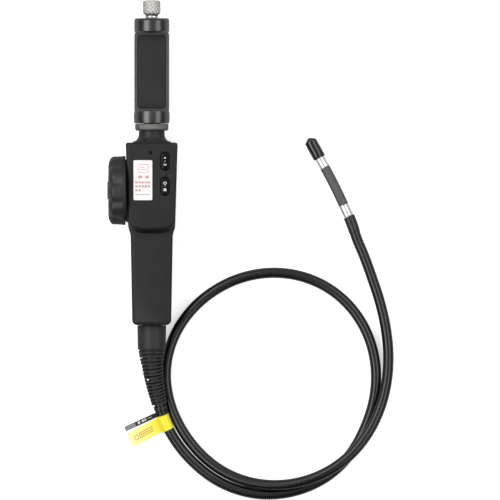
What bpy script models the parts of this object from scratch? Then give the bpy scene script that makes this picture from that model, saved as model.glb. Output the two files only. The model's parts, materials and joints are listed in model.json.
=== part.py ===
"""Inspection camera: an articulating borescope with a phone clamp.

The camera lies on its back. +Z is up, +Y runs along the handle towards the phone clamp
and +X is to the right. The origin is on the flat back of the handle, on its centre line,
level with the axis of the steering wheel. Front means +Z.
Shapes are worked out in millimetres and written to the meshes in metres.
"""

import math

import bmesh
import bpy
from mathutils import Matrix, Vector

for old in list(bpy.data.objects):
    bpy.data.objects.remove(old, do_unlink=True)

MM = 0.001
GAP = 0.3  # clearance between neighbouring pieces
OVERLAP = 0.8  # how far a joined feature sinks into its wall

# Handle
BOX_TOP_Y = 39.2
BOX_HALF_W = 21.2
SHOULDER_Y = -28.0
SHOULDER_HALF_W = 19.3
GRIP_TOP_Y = -38.0
GRIP_HALF_W = 17.2
GRIP_END_HALF_W = 15.9
GRIP_END_Y = -110.3
BOX_CORNER_R = 1.6
GRIP_CORNER_R = 4.0
SPLIT_Z = 23.85
FRONT_LOW_Z = SPLIT_Z + GAP / 2
REAR_HIGH_Z = SPLIT_Z - GAP / 2
BOX_FRONT_Z = 48.0
GRIP_FRONT_Z = 40.0
STEP_SIDE_Y = -25.0
STEP_MID_Y = -34.0
BOX_RIM = 2.4
GRIP_RIM = 2.6
WALL = 2.2
CABLE_EXIT_Z = 20.0
SCREW_SPOTS = [(-15.3, 34.1), (15.3, 34.1), (-9.8, -102.4), (9.8, -102.4)]

# Buttons, light, label, charge socket
BUTTON_X = 11.0
BUTTON_Y = {"upper": 23.9, "lower": 3.4}
BUTTON_W = 6.6
BUTTON_L = 14.6
LIGHT_POS = (-0.9, 31.0)
PINHOLE_POS = (12.0, 12.7)
LABEL_BOUNDS = (-14.8, -8.0, 0.6, 24.7)
PORT_Y, PORT_Z = -12.0, 35.8
PORT_HALF_L = 4.5
PORT_HALF_H = 1.6
PORT_WALL = 0.4

# Steering wheel
WHEEL_AXIS_Z = 29.0
AXLE = (0, 0, WHEEL_AXIS_Z)
WHEEL_R = 28.3
WHEEL_OUT_X = -36.0
WHEEL_IN_X = -21.5
WHEEL_LOBES = 10
WHEEL_GROOVE = 1.3
GROOVE_START_R = 20.0  # grooves are left out inside this radius
GROOVE_ZERO_R = 18.0  # groove depth grows in proportion from here to the rim
SHAFT_R = 3.0
SHAFT_HOLE_R = 4.2
BUSH_BORE_R = 3.15
DRUM_R = 5.2
DRUM_X = (-12.0, -3.0)
DRUM_FLANGE_R = 7.0
DRUM_FLANGE_W = 1.2
WIRE_X = sum(DRUM_X) / 2
WIRE_Z = {"lower": WHEEL_AXIS_Z - DRUM_R, "upper": WHEEL_AXIS_Z + DRUM_R}

# Phone clamp
CLAMP_AXIS_Z = 24.0
SWIVEL = (0, 0, CLAMP_AXIS_Z)
NECK_R = 10.6
FLANGE_R = 15.6
SPIGOT_BORE_R = 7.3  # bore of the pieces that sit on the end of the clamp socket
LOCK_R = 13.8
LOCK_Y = (49.0, 54.6)
LOWER_JAW_Y = (55.1, 65.7)
JAW_R = 14.4
JAW_RIM = 0.6
RAIL_R = 14.3
RAIL_Y = (66.0, 129.0)
RAIL_FLAT_Z = 26.0
PAD_HALF_W = 11.3
PAD_Y = (67.4, 127.4)
PAD_BOUNDS = (-PAD_HALF_W, PAD_Y[0], PAD_HALF_W, PAD_Y[1])
TOP_JAW_Y = (129.3, 141.2)
ROD_X = {"left": -8.2, "right": 8.2}
ROD_Z = 17.5
ROD_R = 2.0
SPRING_Y = (73.5, 126.5)
SPRING_R = 3.0
SPRING_WIRE_R = 0.45
SPRING_TURNS = 12
SPRING_STEPS = 8  # path points per turn
KNOB_R = 7.4
KNOB_Y = (144.3, 156.0)
KNOB_RIM = 0.9
FLUTE_STEPS = 36  # segments round a fluted piece, every other one pushed in

# Insertion tube: laid round LOOP_CENTRE. Angle 0 is the -X side of the loop and 90 the -Y side.
TUBE_R = 4.35
TUBE_REST_Z = 4.55
TUBE_STEP = 9.0
TIP_Z = 5.5
LOOP_CENTRE = (97.7, -154.6)
# (turn angle in degrees, radius) from the strain relief to the tip
LAY = [
    (13.0, 93.7), (46.0, 93.5), (66.0, 94.7), (88.0, 95.0), (120.0, 92.5), (160.0, 86.5),
    (235.0, 88.2), (300.0, 86.0), (350.0, 86.6), (394.0, 84.0), (430.0, 86.0), (485.0, 89.4),
    (530.0, 93.5), (560.0, 101.5), (582.0, 114.7), (597.0, 132.6), (604.5, 148.2),
]  # fmt: skip
FIRST_ANGLE = LAY[0][0]
LAST_ANGLE = LAY[-1][0]
LAY_STEPS = 1500
LEAD_STEPS = 60
CROSS_ANGLE = 493.0
CROSS_HALF_SPAN = 95.0
CROSS_RISE = 9.3
EXIT_Z = 11.6
DESCENT_SPAN = 46.0  # degrees over which the tube comes down to the bench
TIP_RISE_ANGLE = 572.0
BOOT_STRAIGHT_Y = -131.0

# Pieces round the tube
TAPER_START_R = 10.55
TAPER_END_R = 6.2
TAPER_POWER = 0.8
TAPER_STEP = 6.6
WRAP_R = TUBE_R + 0.6
TAG_STEP = 3.2
TAG_THICKNESS = 0.4
TAG_RUN = 33.0
TAG_DROP = 3.4
TAG_TILT = 1.0  # extra drop of the tail's far corner on the start side
SHRINK_SPAN = 4.3  # degrees

# Tip: the base ring, the bending section and the camera head. Headings swing from +Y towards -X.
BASE_HEADING = 24.2
HEAD_HEADING = 28.9
BASE_RING_L = 10.0
BEND_L = 34.4
BEND_JOINTS = 6
PITCH = BEND_L / BEND_JOINTS
TIP_R = 4.0
TIP_EDGE = 0.2
LINK_R = 3.15
LINK_BORE_R = 2.0
LINK_CLEAR = 1.15  # from a pivot to the end of the tube on either side
EAR_ROOT = 0.8  # how far an ear starts inside the tube wall
EAR_R = 0.95
EAR_OUT_Z = (2.5, 3.1)
EAR_IN_Z = (1.75, 2.25)
EAR_HOLE_R = 0.72
PIN_R = 0.5
PIN_Z = (2.1, 3.05)
HEAD_RING_L = 8.8
HEAD_L = 21.8
HEAD_START = PITCH / 2
HEAD_END = HEAD_START + HEAD_L
CAP_R = 5.15
CAP_CYL_L = 15.9
CAP_CONE_L = 2.9


# ---------------------------------------------------------------- materials
def material(name, colour, roughness, metallic=0.0):
    mat = bpy.data.materials.new(name)
    mat.use_nodes = True
    bsdf = mat.node_tree.nodes["Principled BSDF"]
    bsdf.inputs["Base Color"].default_value = (*colour, 1.0)
    bsdf.inputs["Roughness"].default_value = roughness
    bsdf.inputs["Metallic"].default_value = metallic
    return mat


BLACK_SHELL = material("shell_black", (0.035, 0.034, 0.033), roughness=0.55)
BLACK_RUBBER = material("rubber_black", (0.02, 0.02, 0.02), roughness=0.65)
BLACK_GLOSS = material("gloss_black", (0.01, 0.01, 0.01), roughness=0.15)
ANODISED = material("anodised_black", (0.02, 0.02, 0.022), roughness=0.3, metallic=0.8)
STEEL = material("steel", (0.6, 0.6, 0.58), roughness=0.3, metallic=1.0)
NICKEL = material("nickel", (0.62, 0.6, 0.56), roughness=0.28, metallic=1.0)
BRASS = material("brass", (0.6, 0.45, 0.2), roughness=0.35, metallic=1.0)
BOARD = material("board_green", (0.02, 0.12, 0.06), roughness=0.5)
CELL = material("cell_blue", (0.05, 0.12, 0.35), roughness=0.4)
WHITE = material("label_white", (0.85, 0.85, 0.83), roughness=0.5)
YELLOW = material("tag_yellow", (0.9, 0.72, 0.03), roughness=0.4)
BRAID = material("braid_grey", (0.09, 0.09, 0.09), roughness=0.6)
GLASS = material("lens_glass", (0.03, 0.04, 0.06), roughness=0.05)
PALE = material("light_white", (0.8, 0.8, 0.78), roughness=0.3)


# ---------------------------------------------------------------- mesh helpers
def to_mesh(bm):
    bmesh.ops.remove_doubles(bm, verts=bm.verts, dist=1e-5)
    bmesh.ops.recalc_face_normals(bm, faces=bm.faces)
    if bm.calc_volume(signed=True) < 0:
        bmesh.ops.reverse_faces(bm, faces=bm.faces)
    mesh = bpy.data.meshes.new("work")
    bm.to_mesh(mesh)
    bm.free()
    return mesh


def combine(first, second, operation):
    """One mesh from two, with Blender's exact Boolean, in millimetres."""
    target = bpy.data.objects.new("target", first)
    tool = bpy.data.objects.new("tool", second)
    bpy.context.scene.collection.objects.link(target)
    bpy.context.scene.collection.objects.link(tool)
    boolean = target.modifiers.new("join", "BOOLEAN")
    boolean.operation = operation
    boolean.solver = "EXACT"
    boolean.object = tool
    bpy.context.view_layer.update()
    graph = bpy.context.evaluated_depsgraph_get()
    result = bpy.data.meshes.new_from_object(target.evaluated_get(graph))
    bpy.data.objects.remove(target, do_unlink=True)
    bpy.data.objects.remove(tool, do_unlink=True)
    return result


def cut(mesh, *cutters):
    for cutter in cutters:
        mesh = combine(mesh, cutter, "DIFFERENCE")
    return mesh


def join(mesh, *others):
    for other in others:
        mesh = combine(mesh, other, "UNION")
    return mesh


def add_piece(name, mesh, mat, origin=(0, 0, 0), smooth=32):
    """Writes a mesh given in millimetres as a named object in metres, with its own origin.
    smooth is the sharp-edge angle in degrees; 0 leaves the faces flat."""
    mesh.transform(Matrix.Scale(MM, 4) @ Matrix.Translation(-Vector(origin)))
    mesh.name = name
    mesh.materials.clear()
    mesh.materials.append(mat)
    if smooth:
        mesh.shade_smooth()
        mesh.set_sharp_from_angle(angle=math.radians(smooth))
    obj = bpy.data.objects.new(name, mesh)
    obj.location = Vector(origin) * MM
    bpy.context.scene.collection.objects.link(obj)


def bridge(bm, first, second):
    """Quads between two closed rings of vertices."""
    n = len(first)
    for i in range(n):
        j = (i + 1) % n
        bm.faces.new((first[i], first[j], second[j], second[i]))


def lofted(rows):
    """A closed body through rows of points, capped at both ends."""
    bm = bmesh.new()
    rings = [[bm.verts.new(point) for point in row] for row in rows]
    bm.faces.new(rings[0])
    bm.faces.new(rings[-1])
    for first, second in zip(rings, rings[1:]):
        bridge(bm, first, second)
    return bm


def along_x(a, b, height):
    return (height, a, b)


def along_y(a, b, height):
    return (a, height, b)


def along_z(a, b, height):
    return (a, b, height)


def prism(outline, low, high, place=along_z):
    """A closed outline pushed from low to high."""
    return to_mesh(lofted([[place(a, b, h) for a, b in outline] for h in (low, high)]))


def stacked(outline, levels):
    """A body along Z from one outline at several (height, inset) levels."""
    return to_mesh(lofted([[(x, y, z) for x, y in outline(inset)] for z, inset in levels]))


# A quarter-round rim, as fractions of its width: (rise, inset)
RIM_STEPS = [(0.0, 0.0), (0.62, 0.24), (0.93, 0.62), (1.0, 1.0)]


def rounded_rim(flat, edge, width):
    """(height, inset) levels from a flat end to a far edge with a quarter-round rim."""
    way = 1 if edge > flat else -1
    rim = [(edge - way * width * (1 - rise), width * inset) for rise, inset in RIM_STEPS]
    return [(flat, 0.0)] + rim


def box(low, high):
    x0, y0, z0 = low
    x1, y1, z1 = high
    return prism([(x0, y0), (x1, y0), (x1, y1), (x0, y1)], z0, z1)


# For each axis: its direction, then the directions of angle 0 and angle 90 about it
AXES = {
    "X": (Vector((1, 0, 0)), Vector((0, 1, 0)), Vector((0, 0, 1))),
    "Y": (Vector((0, 1, 0)), Vector((0, 0, 1)), Vector((1, 0, 0))),
    "Z": (Vector((0, 0, 1)), Vector((1, 0, 0)), Vector((0, 1, 0))),
}


def turned(profile, axis, centre, segments, hollow=False, shape=None):
    """Turns (along, radius) points about an axis. A hollow profile is a closed loop; a solid
    one ends on the axis. shape(angle, radius) may change the radius, for lobes and flutes."""
    along, side, up = AXES[axis]
    centre = Vector(centre)
    bm = bmesh.new()
    rows = []
    for t, radius in profile:
        if radius <= 1e-9:
            rows.append([bm.verts.new(centre + along * t)])
            continue
        row = []
        for i in range(segments):
            angle = 2 * math.pi * i / segments
            r = shape(angle, radius) if shape else radius
            offset = side * r * math.cos(angle) + up * r * math.sin(angle)
            row.append(bm.verts.new(centre + along * t + offset))
        rows.append(row)
    pairs = list(zip(rows, rows[1:]))
    if hollow:
        pairs.append((rows[-1], rows[0]))
    for first, second in pairs:
        if len(first) == 1 and len(second) == 1:
            continue
        if len(first) > 1 and len(second) > 1:
            bridge(bm, first, second)
            continue
        for i in range(segments):
            j = (i + 1) % segments
            if len(first) == 1:
                bm.faces.new((first[0], second[j], second[i]))
            else:
                bm.faces.new((first[i], first[j], second[0]))
    return to_mesh(bm)


def rod(axis, centre, low, high, radius, segments=16):
    profile = [(low, 0), (low, radius), (high, radius), (high, 0)]
    return turned(profile, axis, centre, segments)


# ---------------------------------------------------------------- outlines
def arc(cx, cy, r, start, end, steps):
    """Points on an arc, with its angles in degrees."""
    angles = [math.radians(start + (end - start) * i / steps) for i in range(steps + 1)]
    return [(cx + r * math.cos(a), cy + r * math.sin(a)) for a in angles]


def hexagon(cx, cy, r):
    angles = [2 * math.pi * i / 6 for i in range(6)]
    return [(cx + r * math.cos(a), cy + r * math.sin(a)) for a in angles]


def pill(cx, cy, width, length):
    """Outline of a slot with round ends, long way along Y."""
    r = width / 2
    reach = length / 2 - r
    return arc(cx, cy + reach, r, 0, 180, 8) + arc(cx, cy - reach, r, 180, 360, 8)


def round_rect(bounds, r, steps, grow=0.0):
    """Rounded rectangle from (low, low, high, high) bounds, pushed out by grow."""
    x0, y0, x1, y1 = bounds
    left, right = x0 - grow + r, x1 + grow - r
    low, high = y0 - grow + r, y1 + grow - r
    points = arc(right, high, r, 0, 90, steps)
    points += arc(left, high, r, 90, 180, steps)
    points += arc(left, low, r, 180, 270, steps)
    points += arc(right, low, r, 270, 360, steps)
    return points


def smoothstep(t):
    return t * t * (3 - 2 * t)


def half_width(y):
    """Half the handle's width at a place along its length."""
    if y >= SHOULDER_Y:
        t = (y - SHOULDER_Y) / (BOX_TOP_Y - SHOULDER_Y)
        return SHOULDER_HALF_W + (BOX_HALF_W - SHOULDER_HALF_W) * t
    if y >= GRIP_TOP_Y:
        t = (SHOULDER_Y - y) / (SHOULDER_Y - GRIP_TOP_Y)
        return SHOULDER_HALF_W + (GRIP_HALF_W - SHOULDER_HALF_W) * smoothstep(t)
    t = (GRIP_TOP_Y - y) / (GRIP_TOP_Y - GRIP_END_Y)
    return GRIP_HALF_W + (GRIP_END_HALF_W - GRIP_HALF_W) * t


def mirrored(right):
    """Closes a right-hand edge, listed top to bottom, with its mirror image."""
    return right + [(-x, y) for x, y in reversed(right) if x > 1e-6]


def top_corner(inset):
    """The right-hand corner at the +Y end, shared by both outlines."""
    top_y = BOX_TOP_Y - inset
    r = max(BOX_CORNER_R - 0.5 * inset, 0.5)
    return arc(half_width(top_y) - inset - r, top_y - r, r, 90, 0, 3)


def handle_outline(inset=0.0):
    """The whole handle in plan, from the box's top edge to the foot of the grip."""
    right = top_corner(inset)
    for i in range(5):
        y = SHOULDER_Y + (GRIP_TOP_Y - SHOULDER_Y) * i / 4
        right.append((half_width(y) - inset, y))
    foot = GRIP_END_Y + inset
    r = GRIP_CORNER_R - 0.9 * min(inset, 2.6)
    right += arc(half_width(foot + r) - inset - r, foot + r, r, 0, -90, 3)
    return mirrored(right)


def box_outline(inset=0.0):
    """The raised front of the box in plan, ending in a wide curve above the grip."""
    right = top_corner(inset)
    side_w = half_width(STEP_SIDE_Y) - inset
    depth = STEP_SIDE_Y - STEP_MID_Y - inset
    for i in range(8):
        angle = math.pi / 2 * i / 8
        right.append((side_w * math.cos(angle), STEP_SIDE_Y - depth * math.sin(angle)))
    right.append((0.0, STEP_SIDE_Y - depth))
    return mirrored(right)


# ---------------------------------------------------------------- handle shells
def port_slot(grow, corner_r, low, high):
    """The charge socket's section, pushed out by grow, along X from low to high."""
    bounds = (
        PORT_Y - PORT_HALF_L,
        PORT_Z - PORT_HALF_H,
        PORT_Y + PORT_HALF_L,
        PORT_Z + PORT_HALF_H,
    )
    return prism(round_rect(bounds, corner_r, 3, grow), low, high, along_x)


def wheel_boss():
    """Round boss between the steering wheel and the handle, cut off below the box front."""
    low, high, bore_r, boss_r = WHEEL_IN_X + 0.6, -18.7, 6.7, 26.0
    profile = [(low, bore_r), (low, boss_r), (high, boss_r), (high, bore_r)]
    boss = turned(profile, "X", AXLE, 44, hollow=True)
    return cut(boss, box((-30, -40, BOX_FRONT_Z - 4.0), (0, 40, 80)))


def end_openings():
    """Cutters for the neck spigot at the +Y end and the cable exit at the -Y end."""
    neck_hole = rod("Y", SWIVEL, 30.0, 42.0, 6.2, 20)
    exit_hole = rod("Y", (0, 0, CABLE_EXIT_Z), -114.0, -104.0, 8.3, 24)
    return neck_hole, exit_hole


def build_front_shell():
    shell = stacked(box_outline, rounded_rim(FRONT_LOW_Z, BOX_FRONT_Z, BOX_RIM))
    grip = stacked(handle_outline, rounded_rim(FRONT_LOW_Z, GRIP_FRONT_Z, GRIP_RIM))
    shell = join(shell, grip)
    shell = cut(
        shell,
        prism(box_outline(WALL), SPLIT_Z - 2, BOX_FRONT_Z - WALL),
        prism(handle_outline(WALL), SPLIT_Z - 2, GRIP_FRONT_Z - WALL),
    )
    # Screw pillars with blind holes
    for x, y in SCREW_SPOTS:
        ceiling = (BOX_FRONT_Z if y > 0 else GRIP_FRONT_Z) - WALL
        shell = join(shell, rod("Z", (x, y, 0), FRONT_LOW_Z, ceiling + OVERLAP, 2.7, 12))
        shell = cut(shell, rod("Z", (x, y, 0), SPLIT_Z - 1, SPLIT_Z + 12, 1.5, 10))
    shell = join(shell, cut(wheel_boss(), box((-30, -40, -10), (0, 40, FRONT_LOW_Z))))
    shell = cut(shell, *end_openings())
    shell = cut(shell, rod("X", AXLE, -24.0, -15.0, SHAFT_HOLE_R, 20))

    # Openings in the front of the box
    low, high = 44, 50
    for y in BUTTON_Y.values():
        slot = pill(BUTTON_X, y, BUTTON_W + 2 * GAP, BUTTON_L + 2 * GAP)
        shell = cut(shell, prism(slot, low, high))
    recess = round_rect(LABEL_BOUNDS, 1.3, 3, grow=GAP)
    shell = cut(
        shell,
        rod("Z", (*LIGHT_POS, 0), low, high, 1.35, 16),
        rod("Z", (*PINHOLE_POS, 0), low, high, 0.5, 8),
        prism(recess, BOX_FRONT_Z - 0.4, high),
        port_slot(GAP, 1.5, 15.0, 24.0),
    )
    add_piece("front_shell", shell, BLACK_SHELL)


def build_rear_shell():
    shell = stacked(handle_outline, rounded_rim(REAR_HIGH_Z, 0.0, GRIP_RIM))
    shell = cut(shell, prism(handle_outline(WALL), WALL, SPLIT_Z + 2))
    # Screw pillars with through holes and sinks for the screw heads
    for x, y in SCREW_SPOTS:
        shell = join(shell, rod("Z", (x, y, 0), WALL - OVERLAP, REAR_HIGH_Z, 3.6, 12))
        shell = cut(shell, rod("Z", (x, y, 0), -1, SPLIT_Z + 1, 1.7, 10))
        shell = cut(shell, rod("Z", (x, y, 0), -1, 4.2, 3.1, 16))
    # Rib that carries the inner end of the wheel shaft
    shell = join(shell, box((2.0, -8.0, WALL - OVERLAP), (5.0, 8.0, 35.0)))
    shell = cut(shell, rod("X", AXLE, 1.0, 6.0, SHAFT_HOLE_R, 20))
    shell = join(shell, cut(wheel_boss(), box((-30, -40, REAR_HIGH_Z), (0, 40, 80))))
    shell = cut(shell, *end_openings())
    add_piece("rear_shell", shell, BLACK_SHELL)


def build_case_screws():
    head_z, neck_z, end_z = 1.0, 3.9, SPLIT_Z + 9
    head_r, shank_r = 2.7, 1.2
    profile = [
        (head_z, 0), (head_z, head_r), (neck_z, head_r),
        (neck_z, shank_r), (end_z, shank_r), (end_z, 0),
    ]  # fmt: skip
    for i, (x, y) in enumerate(SCREW_SPOTS, 1):
        screw = turned(profile, "Z", (x, y, 0), 12)
        socket = prism(hexagon(x, y, 1.4), 0.0, 2.4)
        add_piece(f"case_screw_{i}", cut(screw, socket), STEEL)


# ---------------------------------------------------------------- inside the handle
def build_board():
    outline = round_rect((-16.5, -22.0, 16.5, 28.5), 1.5, 3)
    add_piece("main_board", prism(outline, 38.2, 39.8), BOARD, smooth=0)


def build_switches():
    half = 3
    for name, y in BUTTON_Y.items():
        body = box((BUTTON_X - half, y - half, 40.1), (BUTTON_X + half, y + half, 41.6))
        plunger = rod("Z", (BUTTON_X, y, 0), 41.2, 42.4, 1.6, 12)
        add_piece(f"switch_{name}", join(body, plunger), BLACK_GLOSS)


def build_charge_socket():
    can = port_slot(0.0, 1.2, 11.8, 19.4)
    can = cut(can, port_slot(-PORT_WALL, 0.9, 13.4, 21.0))
    half_l, half_h = 3.2, 0.35
    tongue = box(
        (12.6, PORT_Y - half_l, PORT_Z - half_h),
        (18.6, PORT_Y + half_l, PORT_Z + half_h),
    )
    add_piece("charge_socket", join(can, tongue), STEEL)


def build_battery():
    # (y, radius), with a small terminal at the +Y end
    profile = [
        (-79, 0), (-79, 8.4), (-78.4, 9.1), (-15.6, 9.1),
        (-15, 8.4), (-15, 3), (-14.2, 3), (-14.2, 0),
    ]  # fmt: skip
    add_piece("battery_cell", turned(profile, "Y", (3.4, 0, 12.6), 24), CELL)


def build_light_pipe():
    # (z, radius): a foot and a thin stem up to the box front
    profile = [
        (40.1, 0), (40.1, 1.7), (41.5, 1.7), (41.5, 1.0), (47.7, 1.0), (47.9, 0.8), (47.9, 0),
    ]  # fmt: skip
    add_piece("light_pipe", turned(profile, "Z", (*LIGHT_POS, 0), 14), PALE)


def build_label():
    outline = round_rect(LABEL_BOUNDS, 1.0, 4)
    label = prism(outline, BOX_FRONT_Z - 0.1, BOX_FRONT_Z + 0.12)
    add_piece("label", label, WHITE, smooth=0)


def build_wire_guide():
    low = (-11.5, -79.5, WALL + GAP)
    high = (-6.05, -73.5, GRIP_FRONT_Z - WALL - GAP)
    guide = box(low, high)
    for z in WIRE_Z.values():
        guide = cut(guide, rod("Y", (WIRE_X, 0, z), -82, -72, 0.85, 12))
    add_piece("wire_guide", guide, BLACK_SHELL, smooth=0)


def build_cable_clamp():
    block = box((-5.8, -107.2, 12.0), (5.8, -100.6, 28.0))
    block = cut(block, rod("Y", (0, 0, CABLE_EXIT_Z), -109, -99, TUBE_R + GAP, 20))
    add_piece("cable_clamp", block, STEEL, smooth=0)


# ---------------------------------------------------------------- steering wheel and its shaft
def lobed(angle, radius):
    """Shallow grooves between the wheel's lobes, fading out towards the hub."""
    if radius < GROOVE_START_R:
        return radius
    wave = max(0.0, math.cos(WHEEL_LOBES * angle)) ** 3
    return radius - WHEEL_GROOVE * wave * (radius - GROOVE_ZERO_R) / (WHEEL_R - GROOVE_ZERO_R)


def build_wheel():
    # (x, radius) from the bore, out round the rim and back to the screw recess
    profile = [
        (WHEEL_IN_X, 3.3),
        (WHEEL_IN_X, WHEEL_R - 1.0),
        (WHEEL_IN_X - 1.0, WHEEL_R),
        (WHEEL_OUT_X + 6.2, WHEEL_R),
        (WHEEL_OUT_X + 2.4, WHEEL_R - 1.8),
        (WHEEL_OUT_X + 0.5, WHEEL_R - 4.8),
        (WHEEL_OUT_X, WHEEL_R - 8.0),
        (WHEEL_OUT_X, 10.5),
        (WHEEL_OUT_X + 1.2, 9.5),
        (WHEEL_OUT_X + 1.2, 5.0),
        (WHEEL_OUT_X + 2.6, 5.0),
        (WHEEL_OUT_X + 2.6, 1.8),
        (WHEEL_OUT_X + 4.6, 1.8),
        (WHEEL_OUT_X + 4.6, 3.3),
    ]
    wheel = turned(profile, "X", AXLE, 40, hollow=True, shape=lobed)
    origin = (WHEEL_IN_X, 0, WHEEL_AXIS_Z)
    add_piece("steering_wheel", wheel, BLACK_SHELL, origin, smooth=40)


def build_shaft():
    shaft = rod("X", AXLE, WHEEL_OUT_X + 4.6 + GAP, 6.8, SHAFT_R, 20)
    shaft = cut(shaft, rod("X", AXLE, WHEEL_OUT_X + 3, WHEEL_OUT_X + 11.5, 1.7, 10))
    add_piece("wheel_shaft", shaft, STEEL, AXLE)


def build_wheel_screw():
    # (x, radius): the head, then the shank
    profile = [
        (-35.1, 0), (-35.1, 3.6), (-34.5, 4.2), (-33.7, 4.2),
        (-33.7, 1.4), (-25.0, 1.4), (-25.0, 0),
    ]  # fmt: skip
    screw = turned(profile, "X", AXLE, 16)
    socket = prism(hexagon(0, WHEEL_AXIS_Z, 1.9), -36.0, -34.2, along_x)
    add_piece("wheel_screw", cut(screw, socket), STEEL, AXLE)


def build_drum():
    low, high = DRUM_X
    bore_r, floor_r = SHAFT_R + GAP, DRUM_R - 0.6
    profile = [
        (low, bore_r),
        (low, DRUM_FLANGE_R),
        (low + DRUM_FLANGE_W, DRUM_FLANGE_R),
        (low + DRUM_FLANGE_W, floor_r),
        (high - DRUM_FLANGE_W, floor_r),
        (high - DRUM_FLANGE_W, DRUM_FLANGE_R),
        (high, DRUM_FLANGE_R),
        (high, bore_r),
    ]
    add_piece("wire_drum", turned(profile, "X", AXLE, 20, hollow=True), BRASS, AXLE)


def build_bush(name, low, step, high):
    """A bush along X from low to high, with its collar from step to high."""
    sleeve_r, collar_r = 3.9, 5.4
    profile = [
        (low, BUSH_BORE_R), (low, sleeve_r), (step, sleeve_r),
        (step, collar_r), (high, collar_r), (high, BUSH_BORE_R),
    ]  # fmt: skip
    add_piece(name, turned(profile, "X", AXLE, 20, hollow=True), BRASS)


def build_pull_wires():
    # (y, radius): the wire, with a thicker end by the drum
    profile = [(-89.5, 0), (-89.5, 0.5), (-20, 0.5), (-20, 1.1), (-12.5, 1.1), (-12.5, 0)]
    for name, z in WIRE_Z.items():
        add_piece(f"pull_wire_{name}", turned(profile, "Y", (WIRE_X, 0, z), 8), STEEL)


def build_buttons():
    top = BOX_FRONT_Z + 0.3
    flange_extra = 1.8
    for name, y in BUTTON_Y.items():
        outline = pill(BUTTON_X, y, BUTTON_W, BUTTON_L)
        bm = lofted([[(a, b, z) for a, b in outline] for z in (44.6, top)])
        bmesh.ops.recalc_face_normals(bm, faces=bm.faces)
        rim = [e for e in bm.edges if all(abs(v.co.z - top) < 1e-6 for v in e.verts)]
        # Tolerates the single-precision height of the rim's vertices only if it is exact
        if not rim:
            rim = []
        bmesh.ops.bevel(bm, geom=rim, offset=0.5, segments=2, profile=0.5, affect="EDGES")
        flange = pill(BUTTON_X, y, BUTTON_W + flange_extra, BUTTON_L + flange_extra)
        cap = join(to_mesh(bm), prism(flange, 43.4, 45.3))
        add_piece(f"button_{name}", cap, BLACK_GLOSS, (BUTTON_X, y, 45.0))


# ---------------------------------------------------------------- phone clamp
def notched(min_radius, depth):
    """A shape for turned: every other point at or beyond min_radius is pushed in by depth."""

    def shape(angle, radius):
        if radius < min_radius:
            return radius
        return radius - (depth if round(angle / (2 * math.pi / FLUTE_STEPS)) % 2 else 0.0)

    return shape


def build_clamp_socket():
    # (y, radius): a flanged spigot inside the box, the flange outside, a flare and the neck
    profile = [(33.2, 0), (33.2, 8.4), (36.6, 8.4), (36.6, 5.8), (BOX_TOP_Y + GAP, 5.8)]
    flare_y, flare_l = BOX_TOP_Y + 1.0, 6.4
    profile += [(BOX_TOP_Y + GAP, FLANGE_R), (flare_y, FLANGE_R)]
    for i in range(1, 5):
        angle = math.pi / 2 * i / 4
        y = flare_y + flare_l * (1 - math.cos(angle))
        profile.append((y, FLANGE_R - (FLANGE_R - NECK_R) * math.sin(angle)))
    neck_end_y, spigot_end_y, spigot_r = 48.6, 63.9, SPIGOT_BORE_R - GAP
    profile += [(neck_end_y, NECK_R), (neck_end_y, spigot_r)]
    profile += [(spigot_end_y, spigot_r), (spigot_end_y, 0)]
    add_piece("clamp_socket", turned(profile, "Y", SWIVEL, 24), BLACK_SHELL)


def build_lock_ring():
    low, high = LOCK_Y
    edge = 0.6
    profile = [
        (low, SPIGOT_BORE_R), (low, LOCK_R - edge), (low + edge, LOCK_R),
        (high - edge, LOCK_R), (high, LOCK_R - edge), (high, SPIGOT_BORE_R),
    ]  # fmt: skip
    ring = turned(profile, "Y", SWIVEL, FLUTE_STEPS, hollow=True, shape=notched(10, 0.35))
    add_piece("lock_ring", ring, ANODISED, (0, low, CLAMP_AXIS_Z))


def build_lower_jaw():
    low, high = LOWER_JAW_Y
    floor_y = 64.3
    band_r = JAW_R + 0.32
    profile = [
        (low, SPIGOT_BORE_R), (low, JAW_R - JAW_RIM), (low + 0.7, JAW_R),
        (low + 3.5, band_r), (high - 3.5, band_r),
        (high - 0.7, JAW_R), (high, JAW_R - JAW_RIM), (high, 0),
        (floor_y, 0), (floor_y, SPIGOT_BORE_R),
    ]  # fmt: skip
    jaw = turned(profile, "Y", SWIVEL, 28, hollow=True)
    add_piece("lower_jaw", jaw, ANODISED, (0, low, CLAMP_AXIS_Z))


def build_rail():
    """D-section rail: a flat front with a recess for the pad, and three bores from its top end."""
    flat_angle = math.degrees(math.asin((RAIL_FLAT_Z - CLAMP_AXIS_Z) / RAIL_R))
    outline = arc(0, CLAMP_AXIS_Z, RAIL_R, flat_angle, -180 - flat_angle, 24)
    rail = prism(outline, *RAIL_Y, along_y)
    recess = round_rect(PAD_BOUNDS, 2.6, 4, grow=GAP)
    rail = cut(rail, prism(recess, RAIL_FLAT_Z - 1.5, 30))
    for x in ROD_X.values():
        rail = cut(rail, rod("Y", (x, 0, ROD_Z), 74.0, 131.0, ROD_R + GAP))
    rail = cut(rail, rod("Y", (0, 0, ROD_Z), 72.0, 131.0, 3.9))
    add_piece("clamp_rail", rail, ANODISED, (0, RAIL_Y[0], CLAMP_AXIS_Z))


def build_pad():
    pad = prism(round_rect(PAD_BOUNDS, 2.4, 4), RAIL_FLAT_Z - 1.2, RAIL_FLAT_Z - 0.3)
    add_piece("phone_pad", pad, BLACK_RUBBER, (0, PAD_Y[0], CLAMP_AXIS_Z), smooth=0)


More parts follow.
